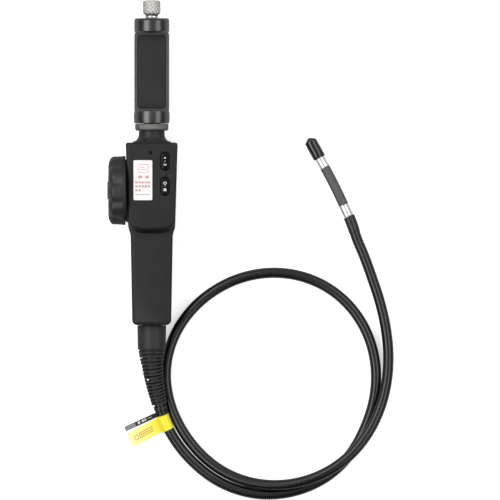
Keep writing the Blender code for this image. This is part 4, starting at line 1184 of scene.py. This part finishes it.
# Angle in degrees round the loop centre, from -X through -Y, and radius
LAY = [
    (13.0, 93.7), (46.0, 93.5), (66.0, 94.7), (88.0, 95.0), (120.0, 92.5), (160.0, 86.5),
    (235.0, 88.2), (300.0, 86.0), (350.0, 86.6), (394.0, 84.0), (430.0, 86.0), (485.0, 89.4),
    (530.0, 93.5), (560.0, 101.5), (582.0, 114.7), (597.0, 132.6), (604.5, 148.2),
]  # fmt: skip
LAY_START, LAY_END = LAY[0][0], LAY[-1][0]
LAY_STEPS, LEAD_STEPS = 2400, 80
EXIT_Z, EXIT_SPAN = 11.6, 46.0  # the height it comes down from, and over what angle
CROSS_ANGLE, CROSS_HALF_SPAN, CROSS_RISE = 493.0, 95.0, 9.3  # where it crosses over itself
TIP_RISE_ANGLE = 572.0
PATH_START_Y, BOOT_STRAIGHT_Y = -98.0, -131.0
BASE_HEADING, HEAD_HEADING = 24.2, 28.9  # degrees from +Y towards -X


def hermite(p0, m0, p1, m1, t):
    return (
        p0 * (2 * t**3 - 3 * t**2 + 1) + m0 * (t**3 - 2 * t**2 + t)
        + p1 * (-2 * t**3 + 3 * t**2) + m1 * (t**3 - t**2)
    )


def lay_radius(angle):
    last = len(LAY) - 1
    i = next((k for k in range(last) if angle <= LAY[k + 1][0]), last - 1)
    (a0, r0), (a1, r1) = LAY[i], LAY[i + 1]

    def slope(k):
        before, after = LAY[max(k - 1, 0)], LAY[min(k + 1, last)]
        return (after[1] - before[1]) / (after[0] - before[0])

    width = a1 - a0
    return hermite(r0, slope(i) * width, r1, slope(i + 1) * width, (angle - a0) / width)


def lay_height(angle):
    z = TUBE_REST_Z
    t = (angle - LAY_START) / EXIT_SPAN
    if t < 1:
        z += (EXIT_Z - TUBE_REST_Z) * (1 - t) ** 2
    off = abs(angle - CROSS_ANGLE) / CROSS_HALF_SPAN
    if off < 1:
        z += CROSS_RISE * math.cos(math.pi / 2 * off) ** 2
    t = (angle - TIP_RISE_ANGLE) / (LAY_END - TIP_RISE_ANGLE)
    if t > 0:
        z += (TIP_Z - TUBE_REST_Z) * smoothstep(t)
    return z


def lay_point(angle):
    a = math.radians(angle)
    radius = lay_radius(angle)
    x = LOOP_CENTRE[0] - radius * math.cos(a)
    return np.array((x, LOOP_CENTRE[1] - radius * math.sin(a), lay_height(angle)))


def unit(vector):
    return vector / np.linalg.norm(vector)


def lead_in(t):
    """From the straight part of the boot to the start of the lay."""
    start = np.array((0, BOOT_STRAIGHT_Y, CABLE_EXIT_Z), float)
    end = lay_point(LAY_START)
    ahead = unit(lay_point(LAY_START + 1.0) - end)
    reach = np.linalg.norm(end - start)
    return hermite(start, np.array((0, -1, 0)) * reach, end, ahead * reach, t)


def direction(heading):
    a = math.radians(heading)
    return np.array((-math.sin(a), math.cos(a), 0))


class Path:
    """A polyline with arc length, and frames that don't twist about it."""

    def __init__(self, points):
        self.points = np.array(points, float)
        steps = np.linalg.norm(np.diff(self.points, axis=0), axis=1)
        self.lengths = np.r_[0, np.cumsum(steps)]
        self.length = self.lengths[-1]
        tangents = np.gradient(self.points, self.lengths, axis=0)
        self.tangents = tangents / np.linalg.norm(tangents, axis=1)[:, None]
        up = np.array((0, 0, 1.0))
        normal = unit(up - self.tangents[0] * (up @ self.tangents[0]))
        normals = []
        for tangent in self.tangents:
            normal = unit(normal - tangent * (normal @ tangent))
            normals.append(normal)
        self.normals = np.array(normals)

    def at(self, lengths):
        """Points, normals and binormals at arc lengths."""
        point, tangent, normal = (
            np.stack([np.interp(lengths, self.lengths, values[:, k]) for k in range(3)], -1)
            for values in (self.points, self.tangents, self.normals)
        )
        tangent = tangent / np.linalg.norm(tangent, axis=1)[:, None]
        normal = normal - tangent * (normal * tangent).sum(1)[:, None]
        normal = normal / np.linalg.norm(normal, axis=1)[:, None]
        return point, normal, np.cross(tangent, normal)


BASE_START = lay_point(LAY_END)
BASE_START[2] = TIP_Z
straight = [
    np.array((0, y, CABLE_EXIT_Z), float) for y in (PATH_START_Y, -104.0, -110.0, -120.0, -125.0)
]
lead = [lead_in(i / LEAD_STEPS) for i in range(LEAD_STEPS + 1)]
lay = [lay_point(LAY_START + (LAY_END - LAY_START) * i / LAY_STEPS) for i in range(1, LAY_STEPS)]
TUBE = Path(straight + lead + lay + [BASE_START - direction(BASE_HEADING) * 0.3])
LEAD_LAST = len(straight) + LEAD_STEPS
LEAD_LENGTH = TUBE.lengths[LEAD_LAST]


def length_at(angle):
    """Arc length along the tube at a lay angle."""
    i = LEAD_LAST + (angle - LAY_START) / (LAY_END - LAY_START) * LAY_STEPS
    return float(np.interp(i, np.arange(len(TUBE.lengths)), TUBE.lengths))


def swept(stations, radii, segs, inner=None):
    """A body along the tube path, or a thick tube if inner is given.

    radii is (rows, segs) or (rows,). Angle 0 is the path's upper side.
    """
    point, normal, binormal = TUBE.at(stations)
    angles = ring_angles(segs)
    cos, sin = np.cos(angles)[None, :, None], np.sin(angles)[None, :, None]
    around = cos * normal[:, None] + sin * binormal[:, None]
    rows = len(stations)
    radii = np.asarray(radii, float)
    if radii.ndim == 1:
        radii = np.repeat(radii[:, None], segs, 1)
    verts = (point[:, None] + radii[..., None] * around).reshape(-1, 3)
    if inner is None:
        ends = [tuple(range(segs)), tuple((rows - 1) * segs + k for k in range(segs))]
        return verts, grid_faces(rows, segs) + ends
    bore = (point[:, None] + inner * around).reshape(-1, 3)
    return np.concatenate([verts, bore]), tube_faces(rows, segs)


# ================================================================ tube, boot and sleeves
def tube_jacket():
    """A smooth skin drawn over a wound core, so that fine turns show through."""
    pitch, steps = 1.55, 4
    start = LEAD_LENGTH - 2.0
    run = TUBE.length - start - 0.3
    count = int(run / pitch) * steps
    stations = [0.0, 5.0, 20.0, LEAD_LENGTH - 20.0, LEAD_LENGTH - 4]
    radii = [TUBE_R - 0.05] * 5
    for i in range(count + 1):
        stations.append(start + run * i / count)
        radii.append(TUBE_R - 0.1 + 0.1 * abs(math.sin(math.pi * i / steps)) ** 0.7)
    stations.append(TUBE.length)
    radii.append(TUBE_R - 0.3)
    shape = swept(np.array(stations), radii, 28)
    place_points("tube_jacket", shape, "tube", "root", "tube_black", "insertion_tube", smooth=60)


def slotted(angles, radius, bridge, floor):
    """Radii of a slot cut down to floor, but for two bridges on opposite sides."""
    near = np.abs(np.angle(np.exp(1j * (angles - bridge))))
    far = np.abs(np.angle(np.exp(1j * (angles - bridge - np.pi))))
    opening = (np.minimum(near, far) - math.radians(20)) / math.radians(5)
    return radius - (radius - floor) * np.clip(opening, 0, 1)


def boot():
    """Strain relief: a plain cuff, then a taper slotted on alternate sides."""
    angles = ring_angles(96)
    # y and radius
    cuff = [(-107.9, 7.9), (-110.45, 7.9), (-110.5, 11.1), (-110.6, 11.55), (-111.1, 11.8)]
    cuff += [(-111.1 - 18.6 * i / 8, 11.8 - 0.3 * i / 8) for i in range(1, 9)]
    cuff += [
        (-130.2, 11.3), (-130.7, 10.85), (-130.9, 10.1), (-131.5, 10.1), (-131.7, 10.95),
    ]
    rows = [(PATH_START_Y - y, radius) for y, radius in cuff]
    start = PATH_START_Y + 131.9
    ribs = 16
    pitch = (LEAD_LENGTH - start) / ribs

    def taper(length):
        t = (length - start) / (LEAD_LENGTH - start)
        if t < 0.28:
            return 10.95 - (10.95 - 8.75) * (t / 0.28)
        return 8.75 - (8.75 - 6.3) * ((t - 0.28) / 0.72) ** 1.05

    for k in range(ribs):
        at = start + pitch * k
        end = at + pitch * 0.6
        rows += [
            (at, taper(at) - 0.25), (at + 0.25, taper(at)),
            (end - 0.25, taper(end) + 0.05), (end, taper(end) - 0.2),
        ]
        if k < ribs - 1:
            floor = max(5.1, taper(at) - 3.2)
            bridge = math.pi / 2 if k % 2 == 0 else 0.0
            for slot_end, edge in ((end + 0.03, end), (at + pitch - 0.03, at + pitch)):
                rows.append((slot_end, slotted(angles, taper(edge) - 0.25, bridge, floor)))
    radii = [np.broadcast_to(radius, len(angles)) for _, radius in rows]
    body = solid(*swept(np.array([row[0] for row in rows]), radii, len(angles), inner=4.75))
    # One slot is open right through beside the tube
    body = cut(body, prism(rect(-3.9, -155.7, -2.4, -154.7), -5, 40))
    place("boot", body, "boot", "root", "rubber_black", "strain_relief", smooth=32)


def boot_collet():
    """The collet at the end of the boot, with grip flutes."""
    angles = ring_angles(120)
    start, end = length_at(13.6), length_at(15.9)
    flute = 0.22 * (np.cos(angles * 20) > 0.1)
    # Arc length, radius, fluted
    rows = [
        (start, 5.05, 0), (start + 0.15, 5.3, 0), (start + 0.6, 5.4, 0), (start + 0.7, 5.4, 1),
        (end - 1.0, 5.35, 1), (end - 0.9, 5.35, 0), (end - 0.3, 5.3, 0), (end, 5.0, 0),
    ]
    radii = [radius - flute * fluted for _, radius, fluted in rows]
    shape = swept(np.array([row[0] for row in rows]), radii, 120, inner=4.7)
    place_points("boot_collet", shape, "shrink", "root", "rubber_black", "relief_collet")


def shrink_sleeve():
    """A heat-shrink sleeve over the joint between the tube and the base ring."""
    start, end = length_at(LAY_END - 4.3), TUBE.length
    stations = np.linspace(start, end, 40)
    t = (stations - start) / (end - start)
    angles = ring_angles(56)
    radii = 4.5 + 0.14 * np.clip(t / 0.16, 0, 1) ** 0.7 + 0.06 * np.clip((t - 0.42) / 0.2, 0, 1)
    radii[-1] -= 0.25
    radii[-2] -= 0.05
    radii, t = radii[:, None], t[:, None]
    wrinkle = 0.035 * np.sin(3 * angles + 9 * t) * np.sin(14 * t) * np.sin(np.pi * t)
    shape = swept(stations, radii + wrinkle, 56, inner=4.43)
    place_points("shrink_sleeve", shape, "shrink", "root", "tube_black", "heat_shrink", smooth=40)


tube_jacket()
boot()
boot_collet()
shrink_sleeve()

# ================================================================ flag tags
TAIL_START, TAIL_END = 0.4, 33.0  # distances from the tube's centreline
TAIL_DROP, TAIL_CORNER_DROP = 3.4, 1.0
FILM_HALF = 0.17
YELLOW_TAIL, YELLOW_SKEW = (18.6, 26.0), 5.0


def tail_frame(tail, skew):
    """The tail's two root points and its outward direction, turned by skew degrees."""
    a, b = (lay_point(angle) for angle in tail)
    along = unit(b - a)
    x, y, _ = unit(np.array((along[1], -along[0], 0.0)))
    k = math.radians(skew)
    away = (x * math.cos(k) - y * math.sin(k), x * math.sin(k) + y * math.cos(k), 0)
    return a, b, np.array(away)


def flag(name, node, wrap, tail, skew, outer, look, sag):
    """A film wrapped round the tube with a flat tail; wrap and tail are spans of lay angle.

    Returns a function of x out along the tail, w across it (0 to 1) and height above mid-film.
    """
    segs, rows = 72, 12
    stations = np.linspace(length_at(wrap[0]), length_at(wrap[1]), rows)
    radii = outer + 0.05 * np.sin(2 * ring_angles(segs))[None, :] + np.zeros((rows, 1))
    ring = solid(*swept(stations, radii, segs, inner=outer - 0.3))
    a, b, away = tail_frame(tail, skew)

    def on_tail(x, w, height):
        t = (x - TAIL_START) / (TAIL_END - TAIL_START)
        point = a * (1 - w) + b * w + away * x
        z = point[2] - TAIL_DROP * t - sag * math.sin(math.pi * t) - TAIL_CORNER_DROP * (1 - w) * t
        z += 0.35 * math.sin(2.2 * math.pi * t + 1.2 * w) * t
        return (point[0], point[1], z + height)

    nx, ny = 40, 14
    verts = [
        on_tail(TAIL_START + (TAIL_END - TAIL_START) * i / nx, j / ny, height)
        for height in (FILM_HALF, -FILM_HALF) for i in range(nx + 1) for j in range(ny + 1)
    ]  # fmt: skip
    cols = ny + 1
    m = len(verts) // 2
    faces = []
    for i in range(nx):
        for j in range(ny):
            k = i * cols + j
            faces.append((k, k + 1, k + cols + 1, k + cols))
            faces.append((m + k, m + k + cols, m + k + cols + 1, m + k + 1))
    for i in range(nx):
        for j in (0, ny):
            k = i * cols + j
            faces.append((k, k + cols, m + k + cols, m + k))
    for j in range(ny):
        for i in (0, nx):
            k = i * cols + j
            faces.append((k, k + 1, m + k + 1, m + k))
    # The tail is kept out of the tube's bore
    first = length_at(min(wrap[0], tail[0]) - 2)
    last = length_at(max(wrap[1], tail[1]) + 2)
    core = solid(*swept(np.linspace(first, last, 24), np.full(24, outer - 0.29), 48))
    film = join(ring, cut(solid(verts, faces), core))
    place(name, film, look, "root", node, node, smooth=35)
    return on_tail


def drape_on(name, on_tail, boxes, look, slot):
    """Bars draped on the film, each given as x0, w0, x1, w1 on the tail."""
    bm = bmesh.new()
    for x0, w0, x1, w1 in boxes:
        steps = max(1, int(abs(x1 - x0) / 0.6))
        rows = []
        for i in range(steps + 1):
            x = x0 + (x1 - x0) * i / steps
            low0, low1, high0, high1 = (
                bm.verts.new(on_tail(x, w, FILM_HALF + lift)) for lift in (0.02, 0.06) for w in (w0, w1)
            )
            rows.append([low0, low1, high1, high0])
        skin(bm, rows)
    mesh = finish_mesh(bm, bpy.data.meshes.new(name))
    place(name, mesh, look, "root", slot, smooth=0)


def fade_yellow():
    """Pales the yellow film towards its free end, where it has faded."""
    a, b, away = tail_frame(YELLOW_TAIL, YELLOW_SKEW)
    s = LOOKS["yellow"]
    fresh = s.shader.inputs["Base Color"].links[0].from_socket
    root = tuple((a + b) / 2 * MM)
    offset = s.add(
        "VectorMath", "Vector", {0: s.add("TexCoord", "Object"), 1: root}, operation="SUBTRACT"
    )
    reach = s.add("VectorMath", "Value", {0: offset, 1: tuple(away)}, operation="DOT_PRODUCT")
    fading = s.span(reach, low=0.0, high=1.0, start=6.0 * MM, end=34.0 * MM)
    s.shade({"Base Color": s.mix(fading, fresh, (0.96, 0.90, 0.42))})


fade_yellow()
yellow_tail = flag(
    "flag_yellow", "tag_yellow", wrap=(18.4, 26.2), tail=YELLOW_TAIL, skew=YELLOW_SKEW,
    outer=TUBE_R + 0.58, look="yellow", sag=0.3,
)
black_tail = flag(
    "flag_black", "tag_black", wrap=(16.3, 18.1), tail=(15.9, 18.3), skew=7.0,
    outer=TUBE_R + 0.62, look="black_film", sag=0.2,
)
dashes = []
for row, (w0, w1) in enumerate(((0.30, 0.38), (0.44, 0.52), (0.58, 0.66))):
    for k in range(8):
        x = 11.5 + k * 1.65 + 0.25 * row
        dashes.append((x, w0, x + 1.1, w1))
# An open box beyond the dashes
dashes += [
    (25.5, 0.36, 28.6, 0.40), (25.5, 0.64, 28.6, 0.68),
    (25.5, 0.40, 25.9, 0.64), (28.2, 0.40, 28.6, 0.64),
]
drape_on("flag_yellow_bars", yellow_tail, dashes, "ink_orange", "tag_yellow")
black_bars = [
    (19.5, 0.22, 21.6, 0.72), (16.2, 0.25, 17.9, 0.68),
    (14.0, 0.25, 15.6, 0.68), (9.0, 0.42, 12.6, 0.52),
]
drape_on("flag_black_bars", black_tail, black_bars, "ink_white", "tag_black")
# Painted glare: a grey patch over the black tail's free end stands in for light reflected there.
drape_on("flag_black_painted_glare", black_tail, [(23.8, 0.1, 32.4, 0.9)], "grey_ink_and_glare", "tag_black")

# ================================================================ tip, along its own Y
PIVOTS = [joint_place(f"bend_{k}") for k in range(1, 7)]
LINK = float(np.linalg.norm(PIVOTS[1] - PIVOTS[0]))
LINK_TURN = (HEAD_HEADING - BASE_HEADING) / 6
TIP_R = 4.0
NECK_R = 3.15  # the spigots inside the braid
EAR_R = 0.95
HEAD_START = LINK / 2
HEAD_END = HEAD_START + 21.8


def tip_matrix(origin, heading):
    return Matrix.Translation(Vector(origin)) @ Matrix.Rotation(math.radians(heading), 4, "Z")


HEAD_MATRIX = tip_matrix(PIVOTS[5], HEAD_HEADING)


def turned_grooves(*places):
    """Profile points of fine grooves in the steel."""
    out = []
    for y in places:
        out += [(y - 0.16, TIP_R), (y, TIP_R - 0.14), (y + 0.16, TIP_R)]
    return out


def either_side(low, high, sign):
    return (low, high) if sign > 0 else (-high, -low)


def ear(root, pivot, low, high):
    """A flat hinge ear from y = root to round the pivot."""
    outline = [(-EAR_R, root), (EAR_R, root)]
    outline += arc(0, pivot, EAR_R, 0, math.copysign(180, pivot - root), 12)
    return prism(outline, low, high)


def base_ring():
    profile = [(0, 2.0), (0, TIP_R - 0.25), (0.25, TIP_R)] + turned_grooves(1.1, 8.9)
    profile += [
        (9.75, TIP_R), (10.0, TIP_R - 0.25), (10.0, NECK_R), (11.72, NECK_R), (11.72, 2.0),
    ]
    base = solid(*turned(profile, "Y", ORIGIN, 72, hollow=True))
    pivot = 10.0 + LINK / 2
    for sign in (1, -1):
        low, high = either_side(2.5, 3.1, sign)
        hole = rod("Z", (0, pivot, 0), low - 1, high + 1, 0.72, 16)
        base = join(base, cut(ear(10.92, pivot, low, high), hole))
    matrix = tip_matrix(BASE_START, BASE_HEADING)
    place("tip_base_ring", base, "ring", "root", "steel", "base_ring", smooth=28, turn=matrix)


def camera_barrel():
    start, end = HEAD_START, HEAD_END
    profile = [
        (1.15, 2.0), (1.15, NECK_R), (start, NECK_R), (start, TIP_R - 0.25), (start + 0.25, TIP_R),
    ]
    profile += turned_grooves(start + 1.1, start + 7.6)
    profile += [
        (end - 0.5, TIP_R), (end - 0.12, TIP_R - 0.2), (end, TIP_R - 0.5), (end, 3.1),
        (end - 8.0, 3.1), (end - 8.0, 2.0),
    ]
    head = solid(*turned(profile, "Y", ORIGIN, 72, hollow=True))
    for sign in (1, -1):
        head = join(head, ear(1.95, 0.0, *either_side(1.75, 2.25, sign)))
        head = join(head, rod("Z", ORIGIN, *either_side(2.1, 3.05, sign), 0.5, 12))
    place(
        "camera_barrel", head, "ring", "head", "steel", "camera_head", smooth=28, turn=HEAD_MATRIX
    )


def lamp_and_lens():
    """A lamp ring with the lens barrel inside it."""
    end = HEAD_END
    profile = [
        (end - 1.6, 1.8), (end - 1.6, 2.8), (end - 0.5, 2.8), (end - 0.4, 2.7),
        (end - 0.4, 1.9), (end - 0.5, 1.8),
    ]
    lamp = turned(profile, "Y", ORIGIN, 64, hollow=True, turn=HEAD_MATRIX)
    place_points("lamp_ring", lamp, "lamp", "head", "light", "light_ring")
    profile = [
        (end - 5.2, 0), (end - 5.2, 1.5), (end - 0.7, 1.5), (end - 0.35, 1.2),
        (end - 0.2, 0.6), (end - 0.15, 0),
    ]
    lens = turned(rounded(profile, {2: 0.1}), "Y", ORIGIN, 48, turn=HEAD_MATRIX)
    place_points("lens_dome", lens, "glass", "head", "glass", "lens", smooth=40)


def tip_cap():
    """A soft protective cap with a cone end and a rolled lip."""
    lip = HEAD_START + 8.8
    nose = lip + 15.9
    radius = 5.15
    profile = [
        (lip, 4.3), (lip, radius - 0.55), (lip + 0.2, radius - 0.2), (lip + 0.6, radius),
        (lip + 5.0, radius), (lip + 10.0, radius - 0.02), (nose - 0.9, radius - 0.03),
        (nose - 0.3, radius - 0.18), (nose + 0.1, radius - 0.5),
    ]
    for i in range(1, 9):
        t = i / 8
        profile.append((nose + 0.1 + 2.1 * t, (radius - 0.5) * (1 - t) + 1.7 * t))
    profile += [
        (nose + 2.45, 1.25), (nose + 2.65, 0.7), (nose + 2.72, 0.02), (HEAD_END + 0.8, 0.02),
        (HEAD_END + 0.8, 3.8), (HEAD_END + 0.3, 4.3),
    ]
    shape = turned(profile, "Y", ORIGIN, 96, hollow=True, turn=HEAD_MATRIX)
    place_points("cap_shell", shape, "cap", "cap", "gloss_black", "tip_cap", smooth=32)


base_ring()
camera_barrel()
lamp_and_lens()
tip_cap()

# ================================================================ braided sheath
BRAID_R, BRAID_BORE_R, BRAID_DEPTH = 4.05, 3.35, 0.26
STRANDS, STRAND_LAY = 22, 10.5  # how many, and the length that sets their slant
BRAID_SEGS, BRAID_ROWS_PER_MM = 176, 7.5


def weave_height(angles, along):
    """Height of the weave, from 0 in the gaps to 1 on the strand crowns."""
    turns = angles * STRANDS / (2 * np.pi)
    slant = along / STRAND_LAY * STRANDS / 2
    one, two = turns + slant, turns - slant
    over = np.cos(np.pi * (one + two)) * np.sin(np.pi * (one - two) + 0.5 * np.pi)
    first, second = np.abs(np.sin(np.pi * one)), np.abs(np.sin(np.pi * two))
    return 0.35 * np.maximum(first, second) + 0.65 * np.where(over > 0, first, second)


def braid_piece(k):
    """One woven tube per joint, from the middle of one link to the middle of the next."""
    pivot = PIVOTS[k]
    heading_in, heading_out = BASE_HEADING + LINK_TURN * k, BASE_HEADING + LINK_TURN * (k + 1)
    ahead_in, ahead_out = direction(heading_in), direction(heading_out)
    angles = ring_angles(BRAID_SEGS)
    places = np.linspace(-LINK / 2, LINK / 2, int(LINK * BRAID_ROWS_PER_MM) + 1)
    outer, inner, crown = [], [], []
    for along in places:
        centre = pivot + (ahead_in if along < 0 else ahead_out) * along
        t = np.clip((along + LINK / 2) / LINK, 0, 1)
        h = math.radians(heading_in + (heading_out - heading_in) * smoothstep(t))
        around = np.outer(np.cos(angles), (0, 0, 1.0))
        around += np.outer(np.sin(angles), (math.cos(h), math.sin(h), 0))
        height = weave_height(angles, along + LINK * (k + 0.5))
        radii = BRAID_R - BRAID_DEPTH + BRAID_DEPTH * height
        outer.append(centre + radii[:, None] * around)
        inner.append(centre + BRAID_BORE_R * around)
        crown.append(height)
    verts = np.concatenate(outer + inner)
    crown = np.concatenate(crown)
    mesh = bpy.data.meshes.new(f"braid_{k + 1}")
    mesh.from_pydata([tuple(p) for p in verts * MM], [], tube_faces(len(places), BRAID_SEGS))
    attribute = mesh.attributes.new("crown", "FLOAT", "POINT")
    values = np.concatenate([crown, np.zeros(len(crown))]).astype(np.float32)
    attribute.data.foreach_set("value", values)
    bm = bmesh.new()
    bm.from_mesh(mesh)
    obj = show(f"braid_{k + 1}", finish_mesh(bm, mesh), "braid", smooth=50)
    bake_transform(obj)
    if k < 5:
        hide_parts(f"sheath_{k + 1}")


for k in range(6):
    braid_piece(k)

# ================================================================ CAD nodes that stay
# Those not listed are steel
STAY = {
    "main_board": "board", "sensor_board": "board", "switch_upper": "gloss",
    "switch_lower": "gloss", "battery_cell": "cell", "wire_guide": "shell",
    "bush_outer": "brass", "bush_inner": "brass", "wire_drum": "brass",
}
for name, obj in frame["nodes"].items():
    if not obj.hide_render:
        dress(obj.data, STAY.get(name, "steel"), smooth=32)


# ================================================================ floor, world, lights, camera
scene = bpy.context.scene


def paper_floor():
    """A floor that looks nearly white to the camera but lights the piece as mid grey."""
    s = Surface("paper_floor")
    seen = s.add("LightPath", "Is Camera Ray")
    paper = s.ramp(s.noise(scale=9.0), grey(0.90), grey(0.93))
    s.shade({
        "Base Color": s.mix(seen, grey(0.55), paper),
        "Emission Strength": s.span(seen, low=0.0, high=0.55),
        "Emission Color": grey(1),
        "Roughness": 0.9,
        "Specular IOR Level": 0.1,
    })
    half, z = 6, -0.0003  # metres
    mesh = bpy.data.meshes.new("floor")
    mesh.from_pydata(at_height(rect(-half, -half, half, half), z), [], [(0, 1, 2, 3)])
    mesh.materials.append(s.material)
    floor = bpy.data.objects.new("floor", mesh)
    scene.collection.objects.link(floor)


def soft_room():
    """A grey room, bright overhead, dim towards -Y and with a glow towards +Y."""
    world = bpy.data.worlds.new("soft_room")
    world.use_nodes = True
    w = Nodes(world.node_tree)
    ray = w.add("TexCoord", "Generated")
    split = w.nodes.new("ShaderNodeSeparateXYZ")
    w.feed(split, {"Vector": ray})
    sky = w.ramp(
        split.outputs["Z"], grey(0.05), grey(0.42), start=0.1, end=0.95,
        between=[(0.6, grey(0.12))],
    )
    # Y from -1..1 to 0..1
    depth = w.add("Math", "Value", {0: split.outputs["Y"], 1: 0.5, 2: 0.5}, operation="MULTIPLY_ADD")
    tilt = w.ramp(depth, grey(0.22), grey(1), start=0.12, end=0.48, interpolation="EASE")
    glow = w.ramp(depth, grey(0), grey(0.45), start=0.56, end=0.80, interpolation="EASE")
    dimmed = w.mix(1.0, sky, tilt, blend="MULTIPLY")
    total = w.mix(1.0, dimmed, glow, blend="ADD")
    w.feed(w.nodes["Background"], {"Color": total, "Strength": 1.0})
    scene.world = world


VIEW_CENTRE = Vector((0.0806, -0.0488, 0.0))  # metres


def soft_box(name, lean, width, radiance, length=2.4, reach=1.5):
    """A soft box over the object, leaning from the zenith towards +X, by its face's brightness."""
    light = bpy.data.lights.new(name, "AREA")
    light.shape = "RECTANGLE"
    light.size, light.size_y = length, width
    light.energy = radiance * math.pi * length * width
    obj = bpy.data.objects.new(name, light)
    a = math.radians(lean)
    obj.location = VIEW_CENTRE + Vector((reach * math.sin(a), 0, reach * math.cos(a)))
    obj.rotation_mode = "QUATERNION"
    obj.rotation_quaternion = (VIEW_CENTRE - obj.location).to_track_quat("-Z", "Y")
    scene.collection.objects.link(obj)


def camera():
    """A distant camera looking straight down."""
    distance, view_width, sensor = 14.0, 0.410, 36.0  # metres, metres, millimetres
    data = bpy.data.cameras.new("camera")
    obj = bpy.data.objects.new("camera", data)
    scene.collection.objects.link(obj)
    data.sensor_width = sensor
    data.lens = sensor * distance / view_width
    obj.location = VIEW_CENTRE + Vector((0, 0, distance + 0.025))
    data.clip_start, data.clip_end = 0.1, 50.0
    scene.camera = obj


paper_floor()
scene.view_settings.view_transform = "Standard"
scene.view_settings.look = "None"
scene.view_settings.exposure = 0.0
soft_room()
soft_box("strip_left", lean=-36, width=0.85, radiance=3.4)
soft_box("strip_right", lean=41, width=0.80, radiance=2.2)
camera()
